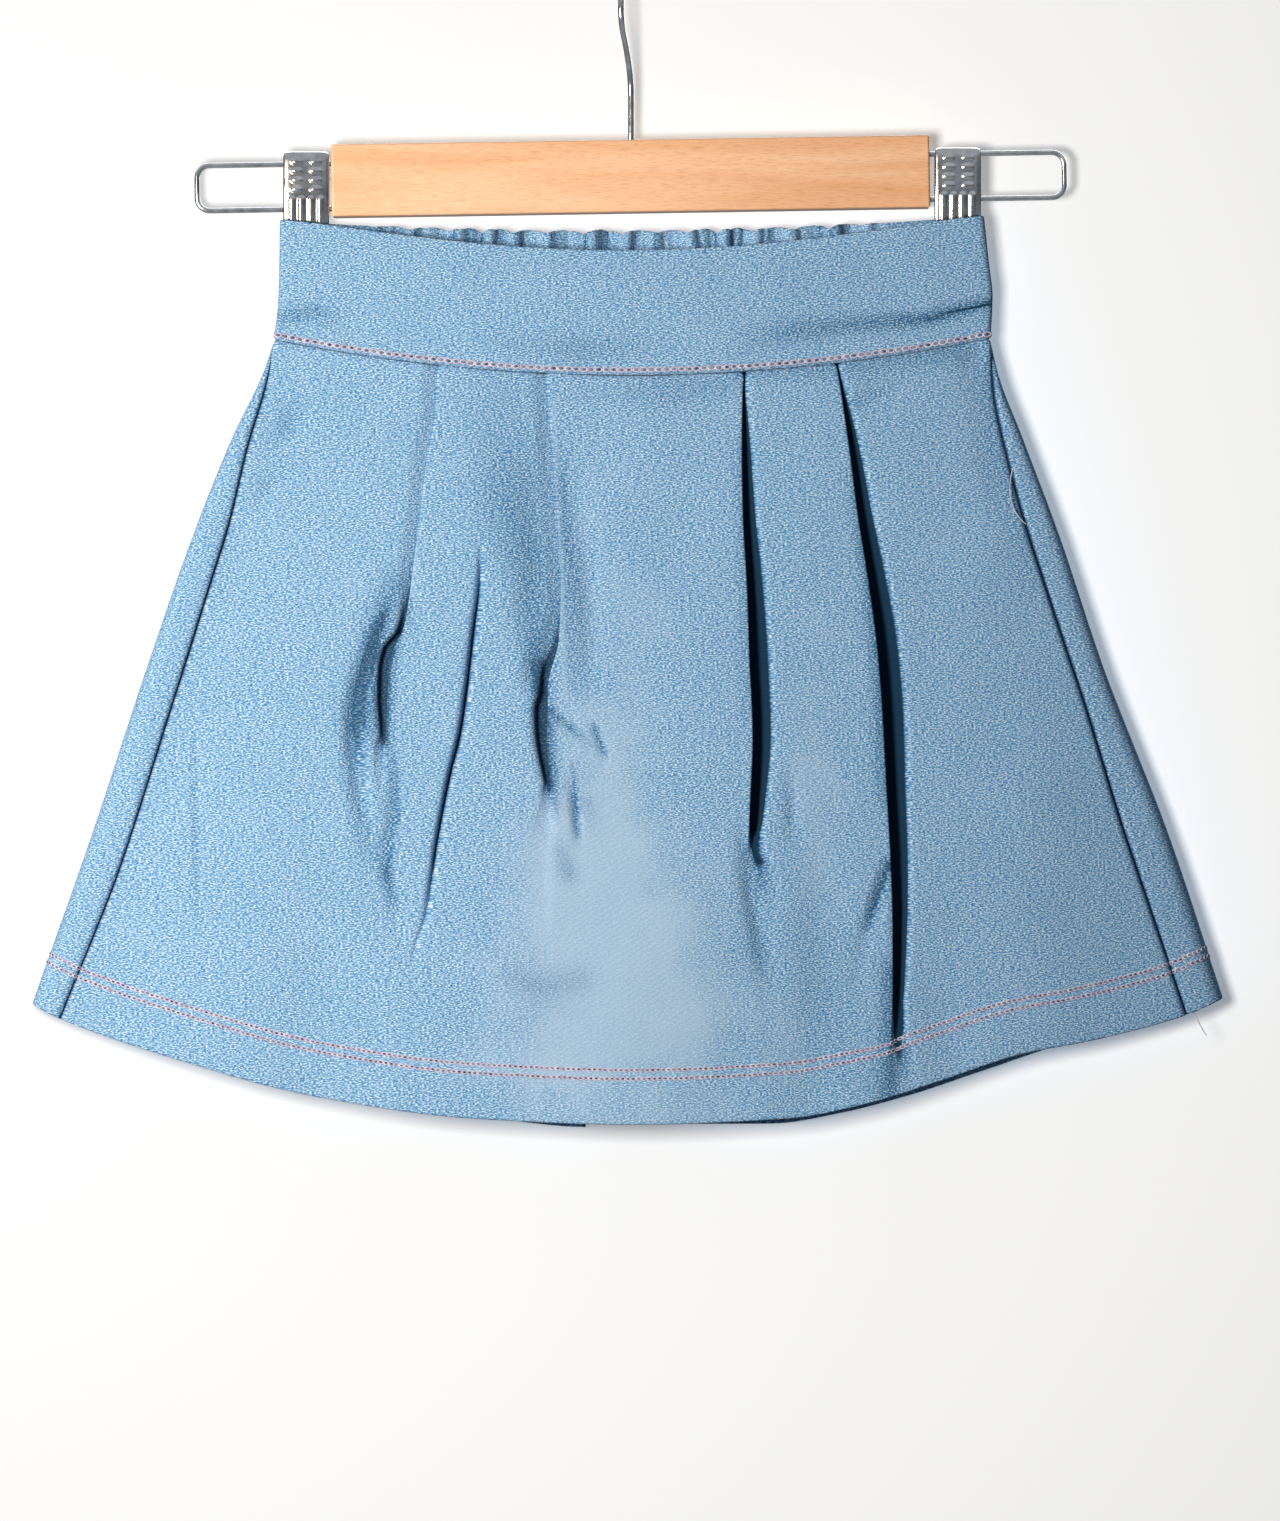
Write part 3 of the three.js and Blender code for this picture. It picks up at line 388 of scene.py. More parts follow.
def coming_forward(hidden, mouth, rise, gap, wall, ease=3, lip=3.2, ramp_width=0.4):
    """The lower layer from the hidden fold out of the gap and up to the open surface.

    With wall = 0 it is one soft slope, rise (1 - smoothstep(x - mouth over gap + ease)). With
    wall = 1 it is a level floor, a steep wall at the end of the gap and a rolled edge, a
    quarter of an ellipse as wide as the lip. Between them the two are mixed.
    """
    s = np.linspace(0, 1, 18)[None, 1:]
    x_soft = hidden + (mouth + gap + ease - hidden) * (1 - (1 - s) ** 1.6)
    d_soft = rise * (1 - smoothstep((x_soft - mouth) / (gap + ease)))
    roll = np.minimum(0.55 * rise, 3.4)
    base = mouth + gap - ramp_width
    floor = np.linspace(0, 1, 7)[None, 1:]
    x_floor = hidden + (base - hidden) * floor
    d_floor = rise - 0.12 * rise * floor ** 3
    up = np.linspace(0, 1, 5)[None, 1:]
    x_up = base + ramp_width * up
    d_up = d_floor[:, -1:] + (roll - d_floor[:, -1:]) * up
    a = np.linspace(0, math.pi / 2, 8)[None, 1:]
    x_roll = base + ramp_width + lip * (1 - np.cos(a))
    d_roll = roll * (1 - np.sin(a))
    x_wall = np.hstack((x_floor, x_up, x_roll))
    d_wall = np.hstack((d_floor, d_up, d_roll))
    return x_soft + (x_wall - x_soft) * wall, d_soft + (d_wall - d_soft) * wall


def knife_pleat(faces, rows, t, radius, turn_steps=6, run_steps=4):
    """Round the fold edge by `turn`, straight back for `run`, and round the hidden fold.

    On the fold edge x = start + r sin a and depth = r (1 - cos a), and the hidden fold is
    the same arc the other way round. The radius r grows by up to 9 mm as the turn goes from
    36 degrees to nothing. A pleat that faces left is its mirror image.
    """
    edge = rows.read("edge", t)
    turn = np.radians(rows.read("turn", t))
    radius = radius + 9 * smoothstep(1 - turn / (math.pi / 5))
    run = rows.read("run", t)
    start = faces * edge - radius * np.sin(np.minimum(turn, math.pi / 2))
    out = steps(0, turn, turn_steps)
    x_out = start + radius * np.sin(out)
    d_out = radius * (1 - np.cos(out))
    along = steps(0, run, run_steps, (False, True))
    x_run = x_out[:, -1:] + along * np.cos(turn)
    d_run = d_out[:, -1:] + along * np.sin(turn)
    home = steps(turn, 0, turn_steps, (False, True))
    x_home = x_run[:, -1:] + radius * (np.sin(turn) - np.sin(home))
    d_home = d_run[:, -1:] + radius * (np.cos(home) - np.cos(turn))
    x = np.hstack((x_out, x_run, x_home))
    depth = np.hstack((d_out, d_run, d_home))
    hidden, rise = x[:, -1:], depth[:, -1:]
    mouth = np.maximum(faces * edge, hidden)
    x_open, d_open = coming_forward(hidden, mouth, rise, rows.read("gap", t), rows.read("wall", t))
    x = np.hstack((x, x_open))
    depth = np.hstack((depth, d_open))
    return (x, depth) if faces > 0 else (-x[:, ::-1], depth[:, ::-1])


def beside_seam(fold, side):
    """Front columns next to a side seam, listed from left to right."""
    seam, _, at = fold
    distance = np.array([0, 0.5, 1.1, 2, 3.2, 4.6, 6.6, 9])[None, :]
    x, y = at(seam - SEAM_GAP / 2 - distance)
    return (x, y - FRONT_Y) if side < 0 else (x[:, ::-1], y[:, ::-1] - FRONT_Y)


def front_section(t, radius):
    """Level sections of the front panel, from the left side seam to the right one.

    Returns x, y and the depth below the open surface, which is 0 beside the side seams.
    """
    left = beside_seam(side_fold(SKIRT_LEVELS, t, -1), -1)
    right = beside_seam(side_fold(SKIRT_LEVELS, t, 1), 1)
    pleats = [knife_pleat(faces, rows, t, radius) for faces, rows in PLEATS]
    offset = np.array(CREASE_COLUMNS)[None, :]
    sunk = np.exp(-(offset / 1.15) ** 2) * CREASE.read("depth", t)
    crease = (CREASE.read("x", t) + offset, sunk)
    parts = [left, pleats[0], crease, pleats[1], pleats[2], pleats[3], right]
    columns_between = (80, 8, 22, 54, 30, 50)
    xs, depths = [left[0]], [left[1]]
    for part, count in zip(parts[1:], columns_between):
        stretch = steps(xs[-1][:, -1:], part[0][:, :1], count, (False, False))
        ease = (stretch - xs[-1][:, -1:]) / (part[0][:, :1] - xs[-1][:, -1:])
        xs += [stretch, part[0]]
        depths += [depths[-1][:, -1:] * (1 - ease) + part[1][:, :1] * ease, part[1]]
    x, depth = np.hstack(xs), np.hstack(depths)
    inner = np.zeros_like(depth)
    first, last = left[0].shape[1], depth.shape[1] - right[0].shape[1]
    inner[:, first:last] = depth[:, first:last]
    return x, FRONT_Y + depth, inner


def gather_depth(u):
    """Uneven waves of the elastic: a sine with a wandering phase, sharpened towards -1."""
    v = (u / GATHER_SPAN + 1) / 2
    inside = smoothstep(v / 0.12) * smoothstep((1 - v) / 0.12)
    phase = 2 * math.pi * GATHER_WAVES * v + 0.7 * np.sin(19 * v + 1)
    wave = np.sin(phase) + 0.4 * np.cos(2 * phase + np.sin(11 * v)) - 0.25 * np.sin(3 * phase)
    return inside * wave * (0.8 + 0.2 * np.sin(31 * v))


def back_half(levels, t, side, middle, depth_at):
    """Half a back section: from the side seam, round the side fold, to the middle."""
    seam, end, at = side_fold(levels, t, side)
    start = seam + SEAM_GAP / 2
    near = start + np.array([0, 0.5, 1.1])[None, :]
    x, y = at(np.hstack((near, steps(start + 2, end + 2, 15))))
    reach = np.abs(levels.read("left_edge" if side < 0 else "right_edge", t))
    gathered = side * reach * GATHER_SPAN
    flat = np.hstack((
        steps(x[:, -1:], gathered, 10, (False, False)),
        steps(gathered, middle, GATHER_WAVES * 7),
    ))
    _, back_y = at(end)
    return np.hstack((x, flat)), np.hstack((y, back_y + depth_at(flat / reach)))


# ------------------------------------------------------------------------------ surfaces

def crease_depth(points, creases):
    """Sum over creases of depth exp(-(d / w)^2), with d the distance to the crease.

    Depth and half width w run straight from point to point of the crease, and the nearest
    point of each crease counts.
    """
    x, z = points[..., 0], points[..., 2]
    total = np.zeros_like(x)
    for crease in creases:
        rows = np.array(crease, float)
        nearest = np.full_like(x, np.inf)
        value = np.zeros_like(x)
        for a, b in zip(rows[:-1], rows[1:]):
            dx, dz = b[0] - a[0], b[1] - a[1]
            s = np.clip(((x - a[0]) * dx + (z - a[1]) * dz) / (dx * dx + dz * dz), 0, 1)
            d2 = (x - a[0] - s * dx) ** 2 + (z - a[1] - s * dz) ** 2
            width = a[2] + (b[2] - a[2]) * s
            depth = a[3] + (b[3] - a[3]) * s
            here = depth * np.exp(-d2 / (width * width))
            value = np.where(d2 < nearest, here, value)
            nearest = np.minimum(nearest, d2)
        total += value
    return total


def ripple(points, seed, sizes, height):
    """Faint slackness of the cloth: a fixed sum of a few crossed sines of the given sizes."""
    x, z = points[..., 0], points[..., 2]
    rng = np.random.default_rng(seed)
    total = np.zeros_like(x)
    for size in sizes:
        for _ in range(3):
            angle, phase = rng.uniform(0, 2 * math.pi, 2)
            total += np.sin((x * math.cos(angle) + 0.55 * z * math.sin(angle))
                            * 2 * math.pi / size + phase)
    return height * total / (3 * len(sizes))


def grid_normals(points):
    """Unit vectors square to the rows and columns of a grid: down x along."""
    along = np.gradient(points, axis=1)
    down = np.gradient(points, axis=0)
    normal = np.cross(down, along)
    return normal / np.maximum(np.linalg.norm(normal, axis=-1, keepdims=True), 1e-9)


def lengths(points, axis):
    """Distance along a grid's rows or columns, from their first point."""
    step = np.linalg.norm(np.diff(points, axis=axis), axis=-1)
    zero = np.zeros_like(np.take(step, [0], axis=axis))
    return np.concatenate((zero, np.cumsum(step, axis=axis)), axis=axis)


def rolled_edges(points, outward, top=0.0, bottom=0.0, sides=0.0, width=1.7):
    """Turns sewn edges in: each sinks by its depth times (1 - distance / width)^2."""
    across = lengths(points, 1)
    down = lengths(points, 0)

    def near(distance):
        return np.clip(1 - distance / width, 0, 1) ** 2

    sink = top * near(down) + bottom * near(down[-1:] - down)
    sink = sink + sides * (near(across) + near(across[:, -1:] - across))
    return points - outward * sink[..., None]


def turned_under(surface, levels, outward_sign, depth, radius, rolls, at_top=False):
    """Cloth that turns round a fold at its hem, or at its top edge, and runs back inside.

    The rows follow the surface, then the half circle of `radius` at the edge, and then the
    surface again, two radii behind it, for `depth`. Returns the face's own grid, its
    outward normals and the whole cloth.
    """
    points = surface(levels)
    outward = outward_sign * grid_normals(points)
    points = rolled_edges(points, outward, **rolls)
    if at_top:
        points, outward = points[::-1], outward[::-1]
    beyond = points[-1] - points[-2]
    beyond /= np.linalg.norm(beyond, axis=-1, keepdims=True)
    angle = np.linspace(0, math.pi, 8)[1:-1, None, None]
    edge = points[-1] + radius * (beyond * np.sin(angle) - outward[-1] * (1 - np.cos(angle)))
    down = lengths(points, 0)
    inside = (down[-1] - down).min(axis=1) <= depth
    behind = (points - 2 * radius * outward)[inside][::-1]
    whole = np.concatenate((points, edge, behind))
    if at_top:
        return points[::-1], outward[::-1], whole[::-1]
    return points, outward, whole


# ------------------------------------------------------------------------ mesh and nodes

def new_piece(name, vertices, faces, materials, uv=None, face_material=None):
    """Mesh object at the origin from millimetre points and a list of faces, on the body."""
    mesh = bpy.data.meshes.new(name)
    mesh.from_pydata((vertices * MM).tolist(), [], faces)
    for material in materials:
        mesh.materials.append(material)
    mesh.polygons.foreach_set("use_smooth", np.ones(len(mesh.polygons), bool))
    if face_material is not None:
        mesh.polygons.foreach_set("material_index", face_material)
    if uv is not None:
        corner = np.empty(len(mesh.loops), np.int32)
        mesh.loops.foreach_get("vertex_index", corner)
        layer = mesh.uv_layers.new(name="cloth")
        layer.data.foreach_set("uv", (uv[corner] * MM).astype(np.float32).ravel())
    mesh.update()
    piece = bpy.data.objects.new(name, mesh)
    bpy.context.collection.objects.link(piece)
    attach(piece, "root")
    return piece


def grid_faces(rows, columns, wrap=False):
    """Quads of a grid, each wound down first and then along."""
    number = np.arange(rows * columns).reshape(rows, columns)
    if wrap:
        number = np.hstack((number, number[:, :1]))
    corners = number[:-1, :-1], number[1:, :-1], number[1:, 1:], number[:-1, 1:]
    return np.stack(corners, axis=-1).reshape(-1, 4)


def seam_shade(points, indigo_and_shade, at_top=False, reach=1.8):
    """Darkness of a whole grid: its face's own, and full at the side seams, fading inwards, which
    is painted shade where the cloth turns in.

    At a distance d from a side seam it is at least 1.6 (1 - d / reach), held from 0 to 1,
    plus 0.3 exp(-d / 3).
    """
    extra = points.shape[0] - indigo_and_shade.shape[0]
    indigo_and_shade = np.pad(indigo_and_shade, ((extra, 0) if at_top else (0, extra), (0, 0)), mode="edge")
    across = lengths(points, 1)
    edge = np.minimum(across, across[:, -1:] - across)
    return np.maximum(indigo_and_shade, np.clip(1.6 * (1 - edge / reach), 0, 1) + 0.3 * np.exp(-edge / 3))


def cloth_piece(name, points, thickness, material, node, rests_on, indigo_and_shade, faded_and_lit=None):
    """Sheet of cloth around a grid of points.

    Its UV map is the length across and z down. On a sheet with `faded_and_lit`, whose deep pleats
    end in mid cloth, the map across is x + 0.7 y, so that its threads stay straight there.
    The two values from 0 to 1 at each point say where the cloth is drawn darker, partly with deep
    dye and partly with painted shade, and paler, partly washed out and partly with painted light.
    """
    rows, columns = points.shape[:2]
    across = lengths(points, 1)
    weft = across if faded_and_lit is None else points[..., 0] + 0.7 * points[..., 1]
    uv = np.stack((weft, points[..., 2]), axis=-1).reshape(-1, 2)
    faces = grid_faces(rows, columns).tolist()
    piece = new_piece(name, points.reshape(-1, 3), faces, [material], uv)
    for word, values in (("indigo_and_shade", indigo_and_shade), ("faded_and_lit", faded_and_lit)):
        layer = piece.data.attributes.new(word, "FLOAT", "POINT")
        values = np.zeros((rows, columns)) if values is None else np.clip(values, 0, 1)
        layer.data.foreach_set("value", values.astype(np.float32).ravel())
    wall = piece.modifiers.new("cloth thickness", "SOLIDIFY")
    wall.thickness = thickness
    wall.offset = 0
    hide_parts(node)
    length = lengths(points, 0)[-1].max() * MM
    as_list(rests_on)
    return piece


def line_above(points, outward, distance, from_top=False):
    """Points and normals at one distance along the cloth from a grid's lower or top edge."""
    if not from_top:
        points, outward = points[::-1], outward[::-1]
    down = lengths(points, 0)
    k = np.clip((down < distance).sum(axis=0), 1, len(points) - 1)
    column = np.arange(points.shape[1])
    s = (distance - down[k - 1, column]) / (down[k, column] - down[k - 1, column])
    s = s[:, None]
    place = points[k - 1, column] * (1 - s) + points[k, column] * s
    normal = outward[k - 1, column] * (1 - s) + outward[k, column] * s
    return place, normal


def between_points(at, walked, curve):
    """Points of a curve at the given distances along it."""
    return np.stack([np.interp(at, walked, curve[:, k]) for k in range(3)], axis=-1)


def chain_stitches(name, lines, pitch, width, thread, materials, lift=0.1):
    """Rows of looped stitches: each is a ring of thread round a needle hole, a dark disc of painted
    shade.

    A ring's centre line is an ellipse on the cloth, along the row half a pitch each way
    and `width` / 2 across it, and its section is a circle as thick as the thread.
    """
    vertices, faces, kinds = [], [], []
    total = 0
    ring = np.linspace(0, 2 * math.pi, 9)[:-1]
    section = np.linspace(0, 2 * math.pi, 5)[:-1]
    per_ring = len(ring) * len(section)
    for place, normal in lines:
        walked = lengths(place, 0)
        count = int(walked[-1] / pitch)
        at = (np.arange(count) + 0.5) * walked[-1] / count
        here, up = between_points(at, walked, place), between_points(at, walked, normal)
        along = between_points(at + 0.4, walked, place) - between_points(at - 0.4, walked, place)
        along /= np.linalg.norm(along, axis=1, keepdims=True)
        across = np.cross(up, along)
        across /= np.linalg.norm(across, axis=1, keepdims=True)
        up = np.cross(along, across)
        rng = np.random.default_rng(count)
        size = rng.uniform(0.88, 1.08, (count, 1, 1, 1))
        here = here + across * rng.normal(0, 0.07, (count, 1))
        a, b, u = (v[:, None, None, :] for v in (along, across, up))
        phi = ring[None, :, None, None]
        sec = section[None, None, :, None]
        out = 1 + (thread / 2) * np.cos(sec) / (width / 2)
        loop = (a * np.cos(phi) * (pitch * 0.49) * out + b * np.sin(phi) * (width / 2) * out)
        rise = u * (lift + (thread / 2) * np.sin(sec) - 0.12 * np.cos(phi) ** 2)
        grid = here[:, None, None, :] + loop * size + rise
        vertices.append(grid.reshape(-1, 3))
        number = np.arange(count * per_ring).reshape(count, len(ring), len(section)) + total
        ahead = np.roll(number, -1, axis=1)
        quads = np.stack((number, ahead, np.roll(ahead, -1, axis=2),
                          np.roll(number, -1, axis=2)), axis=-1)
        faces.append(quads.reshape(-1, 4))
        kinds.append(np.zeros(count * per_ring, int))
        total += count * per_ring
        # Needle hole: a small six-sided dark disc in the middle of each loop, painted shade of the
        # hole.
        hexagon = np.linspace(0, 2 * math.pi, 7)[:-1][None, :, None]
        disc = (here[:, None, :] + along[:, None, :] * np.cos(hexagon) * 0.46 * pitch / 2
                + across[:, None, :] * np.sin(hexagon) * 0.3 * width + up[:, None, :] * 0.42)
        vertices.append(disc.reshape(-1, 3))
        number = np.arange(count * 6).reshape(-1, 6) + total
        faces.append(np.concatenate((number[:, [0, 1, 2, 3]], number[:, [0, 3, 4, 5]])))
        kinds.append(np.ones(2 * count, int))
        total += count * 6
    return new_piece(name, np.concatenate(vertices), np.concatenate(faces).tolist(), materials,
                     face_material=np.concatenate(kinds))


def cubic(points, count=24):
    """Smooth curve that leaves the first of four points towards the second and ends in the last."""
    a, b, c, d = (np.array(point, float) for point in points)
    s = np.linspace(0, 1, count)[:, None]
    return (1 - s) ** 3 * a + 3 * s * (1 - s) ** 2 * b + 3 * s * s * (1 - s) * c + s ** 3 * d


def tube(points, across, radius, sides=20):
    """Round wire along points in one plane: rings square to the path, with domed ends.

    Ring point = path + r cos a (across x along) + r sin a across. At each end four more
    rings close in as a half sphere. Returns the vertices and lists of side and end faces.
    """
    along = np.gradient(points, axis=0)
    along /= np.linalg.norm(along, axis=1, keepdims=True)
    dome = np.linspace(math.pi / 2, 0.12, 5)[1:]
    head = points[0] - along[0] * radius * np.cos(dome[::-1])[:, None]
    tail = points[-1] + along[-1] * radius * np.cos(dome)[:, None]
    path = np.concatenate((head, points, tail))
    way = np.concatenate((np.repeat(along[:1], 4, 0), along, np.repeat(along[-1:], 4, 0)))
    size = np.concatenate((np.sin(dome[::-1]), np.ones(len(points)), np.sin(dome))) * radius
    out = np.cross(across, way)
    a = np.linspace(0, 2 * math.pi, sides + 1)[:-1][None, :, None]
    rings = path[:, None] + size[:, None, None] * (out[:, None] * np.cos(a) + across * np.sin(a))
    vertices = np.concatenate((rings.reshape(-1, 3), path[:1], path[-1:]))
    count = len(path)
    faces = grid_faces(count, sides, wrap=True)
    ring = np.arange(sides)
    first, last = count * sides, count * sides + 1
    base = (count - 1) * sides
    caps = np.concatenate((
        np.stack((np.full(sides, first), ring, np.roll(ring, -1)), axis=-1),
        np.stack((np.full(sides, last), base + np.roll(ring, -1), base + ring), axis=-1),
    ))
    return vertices, faces.tolist(), caps.tolist()


def wire_piece(name, points, across, radius, material, node):
    """Wire as one mesh that replaces its node."""
    vertices, faces, caps = tube(points, across, radius)
    piece = new_piece(name, vertices, faces + caps, [material])
    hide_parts(node)


def add_node(tree, kind, inputs=None, **settings):
    """Adds a node, sets its properties, and fills its inputs with values or links."""
    node = tree.nodes.new(kind)
    for name, value in settings.items():
        setattr(node, name, value)
    for name, value in (inputs or {}).items():
        if isinstance(value, bpy.types.NodeSocket):
            tree.links.new(value, node.inputs[name])
        else:
            node.inputs[name].default_value = value
    return node


def new_material(name):
    """Empty node material and its tree."""
    material = bpy.data.materials.new(name)
    material.use_nodes = True
    material.node_tree.nodes.clear()
    return material, material.node_tree


def finished(material, inputs):
    """The material, with one principled shader that has these inputs."""
    tree = material.node_tree
    shader = add_node(tree, "ShaderNodeBsdfPrincipled", inputs)
    add_node(tree, "ShaderNodeOutputMaterial", {"Surface": shader.outputs["BSDF"]})
    return material


def ramp(tree, factor, *stops):
    """Colour ramp with linear colours at the given places."""
    node = add_node(tree, "ShaderNodeValToRGB", {"Fac": factor})
    elements = node.color_ramp.elements
    while len(elements) < len(stops):
        elements.new(0.5)
    for element, (place, colour) in zip(elements, stops):
        element.position = place
        element.color = colour
    return node.outputs["Color"]


def object_place(tree):
    """Place on the piece in metres."""
    return add_node(tree, "ShaderNodeTexCoord").outputs["Object"]


def noise(tree, place, scale, detail, roughness=0.5, distortion=0.0):
    """Noise from 0 to 1. Three scales stretch it along the axes."""
    if not isinstance(scale, float):
        place = add_node(tree, "ShaderNodeMapping", {
            "Vector": place, "Scale": scale}).outputs["Vector"]
        scale = 1.0
    return add_node(tree, "ShaderNodeTexNoise", {
        "Vector": place, "Scale": scale, "Detail": detail, "Roughness": roughness,
        "Distortion": distortion}).outputs["Fac"]


def mixed(tree, factor, a, b, **settings):
    """Mix of two colours, or of two numbers with data_type FLOAT."""
    settings = {"data_type": "RGBA", **settings}
    return add_node(tree, "ShaderNodeMix", {"Factor": factor, "A": a, "B": b},
                    **settings).outputs["Result"]


def ranged(tree, value, from_min, from_max, to_min=0.0, to_max=1.0, **settings):
    """Value carried from one range to another and held at its ends."""
    return add_node(tree, "ShaderNodeMapRange", {
        "Value": value, "From Min": from_min, "From Max": from_max, "To Min": to_min,
        "To Max": to_max}, **settings).outputs["Result"]


def calculated(tree, operation, a, b):
    """Result of a mathematical operation on two values."""
    return add_node(tree, "ShaderNodeMath", {0: a, 1: b}, operation=operation).outputs["Value"]


# ----------------------------------------------------------------------------- materials

def washed_denim(name, settings):
    """Light blue stretch denim: cotton twill, indigo warp over pale weft, stone washed.

    The eye gets a fine heather of pale weft flecks and deeper blue ones, cloudy wash, dry
    matt surface and a little nap at grazing angles. Real threads are 0.3 mm apart; the
    flecks are drawn 0.4 to 0.5 mm high and up to 1.7 mm long along the weft, so that they
    show.
    """
    material, tree = new_material(name)
    cloth = add_node(tree, "ShaderNodeUVMap", uv_map="cloth").outputs["UV"]
    fleck = noise(tree, cloth, (580, 2000, 1), 2.0, 0.7)
    speck = noise(tree, cloth, (1150, 2400, 1), 0.0)
    grain = calculated(tree, "ADD", fleck, speck)
    cloud = noise(tree, object_place(tree), 42.0, 4.0, 0.6)
    deep, mid, pale, worn_and_lit, fold, unwashed_and_shade, weft = ((*colour, 1) for colour in (
        settings.denim_deep, settings.denim_mid, settings.denim_pale, settings.denim_worn_and_lit,
        settings.denim_fold_and_shade, settings.denim_unwashed_and_shade, settings.weft_fleck))
    # Heather: the warp in three tones, with flecks of weft and of unworn warp.
    colour = ramp(tree, fleck, (0.33, deep), (0.5, mid), (0.66, pale))
    colour = mixed(tree, ranged(tree, speck, 0.52, 0.74), colour, weft)
    colour = mixed(tree, ranged(tree, speck, 0.47, 0.3, to_max=0.7), colour, deep)
    # The paler patch low on the front, partly washed-out cloth and partly painted light where the
    # cloth bulges towards the light, and the thin painted highlights on the left fold edges: the
    # cloudy wash moves their edge in and out.
    faded_and_lit = add_node(tree, "ShaderNodeAttribute", attribute_name="faded_and_lit").outputs["Fac"]
    ragged = calculated(tree, "ADD", faded_and_lit, cloud)
    colour = mixed(tree, ranged(tree, ragged, 0.64, 1.28, to_max=0.82), colour, worn_and_lit)
    # Darker in the folds, partly deep dye the wash left and partly painted shade in creases,
    # recesses, pleat gaps and beside seams: deep flecks first, then the whole thread, near black
    # navy where it is deepest.
    indigo_and_shade = add_node(tree, "ShaderNodeAttribute", attribute_name="indigo_and_shade").outputs["Fac"]
    spread = calculated(tree, "MULTIPLY", indigo_and_shade, ranged(tree, grain, 0.8, 1.2, 1.8, 0.35))
    spread = add_node(tree, "ShaderNodeClamp", {"Value": spread}).outputs["Result"]
    colour = mixed(tree, spread, colour, fold)
    core = ranged(tree, indigo_and_shade, 0.75, 1.0, interpolation_type="SMOOTHSTEP")
    colour = mixed(tree, core, colour, unwashed_and_shade)
    # Cloudy wash over all, and the fine ridges of the twill.
    wash = ramp(tree, cloud,
                (0.32, linear("#bfcfda")), (0.5, linear("#dcdfe2")), (0.68, linear("#f2eef2")))
    colour = mixed(tree, 0.22, colour, wash, blend_type="MULTIPLY")
    slanted = add_node(tree, "ShaderNodeMapping", {
        "Vector": cloth, "Rotation": (0, 0, math.radians(58)), "Scale": (1000, 1000, 1)})
    twill = add_node(tree, "ShaderNodeTexWave", {
        "Vector": slanted.outputs["Vector"], "Scale": 0.17, "Distortion": 3.0, "Detail": 1.0,
        "Detail Scale": 2.0}, bands_direction="X")
    ridges = ranged(tree, twill.outputs["Fac"], 0.0, 1.0, 0.96, 1.03)
    colour = mixed(tree, 1.0, colour, ridges, blend_type="MULTIPLY")
    bump = add_node(tree, "ShaderNodeBump", {
        "Height": grain, "Strength": 0.5, "Distance": 0.00006})
    return finished(material, {
        "Base Color": colour, "Roughness": 0.9, "Specular IOR Level": 0.12,
        "Sheen Weight": 0.12, "Sheen Roughness": 0.45, "Normal": bump.outputs["Normal"]})


def polyester_thread(name, settings):
    """Faded lilac polyester thread: smooth twisted yarn with a soft shine."""
    material, tree = new_material(name)
    shade = noise(tree, object_place(tree), 520.0, 2.0)
    colour = ramp(tree, shade, (0.35, linear("#b2aec8")), (0.65, (*settings.thread, 1)))
    return finished(material, {"Base Color": colour, "Roughness": 0.55, "Sheen Weight": 0.2})


def shaded_needle_hole(name):
    """Hole in the cloth where the needle went through, drawn as painted shade: dark, matt indigo
    cotton.
    """
    material, tree = new_material(name)
    shade = noise(tree, object_place(tree), 300.0, 1.0)
    colour = ramp(tree, shade, (0.35, linear("#3d4766")), (0.65, linear("#8f93ad")))
    return finished(material, {
        "Base Color": colour, "Roughness": 0.95, "Specular IOR Level": 0.1})


def lacquered_beech(name, settings):
    """Pale beech, planed and sprayed with satin clear lacquer.

    The eye gets fine dark rays 2 to 8 mm long along the grain, soft broad figure and the
    smooth gloss of the coat.
    """
    material, tree = new_material(name)
    place = object_place(tree)
    broad = noise(tree, place, (7, 60, 90), 4.0, distortion=0.6)
    grain = noise(tree, place, (170, 1500, 2100), 3.0, 0.65)
    figure = ramp(tree, broad, (0.3, (*settings.wood_dark, 1)), (0.7, (*settings.wood_pale, 1)))
    streak = ramp(tree, grain, (0.3, linear("#d3b49c")), (0.52, linear("#fbf6f0")))
    colour = mixed(tree, 0.6, figure, streak, blend_type="MULTIPLY")
    bump = add_node(tree, "ShaderNodeBump", {
        "Height": grain, "Strength": 0.2, "Distance": 0.00006})
    return finished(material, {
        "Base Color": colour, "Roughness": 0.42, "Coat Weight": 0.35, "Coat Roughness": 0.22,
        "Normal": bump.outputs["Normal"]})


def chrome_plate(name, settings):
    """Bright nickel-chrome plate on spring steel: mirror metal with faint handling haze."""
    material, tree = new_material(name)
    haze = noise(tree, object_place(tree), 220.0, 3.0)
    rough = ranged(tree, haze, 0.0, 1.0, 0.08, 0.24)
    tint = ramp(tree, haze, (0.3, linear("#a9a6a2")), (0.7, (*settings.plate, 1)))
    return finished(material, {"Base Color": tint, "Metallic": 1.0, "Roughness": rough})


def shared_material(name, make, *settings):
    """The material of that name, made on first use."""
    return bpy.data.materials.get(name) or make(name, *settings)


# ------------------------------------------------------------------------------ settings

def colour_property(name, description, code):
    """Colour setting with its default from a hex code."""
    return FloatVectorProperty(name=name, description=description, subtype="COLOR", size=3,
                               min=0, max=1, default=linear(code)[:3])


def length_property(name, description, default, low, high):
    """Length setting, given in millimetres."""
    return FloatProperty(name=name, description=description, default=default * MM,
                         min=low * MM, max=high * MM, unit="LENGTH")


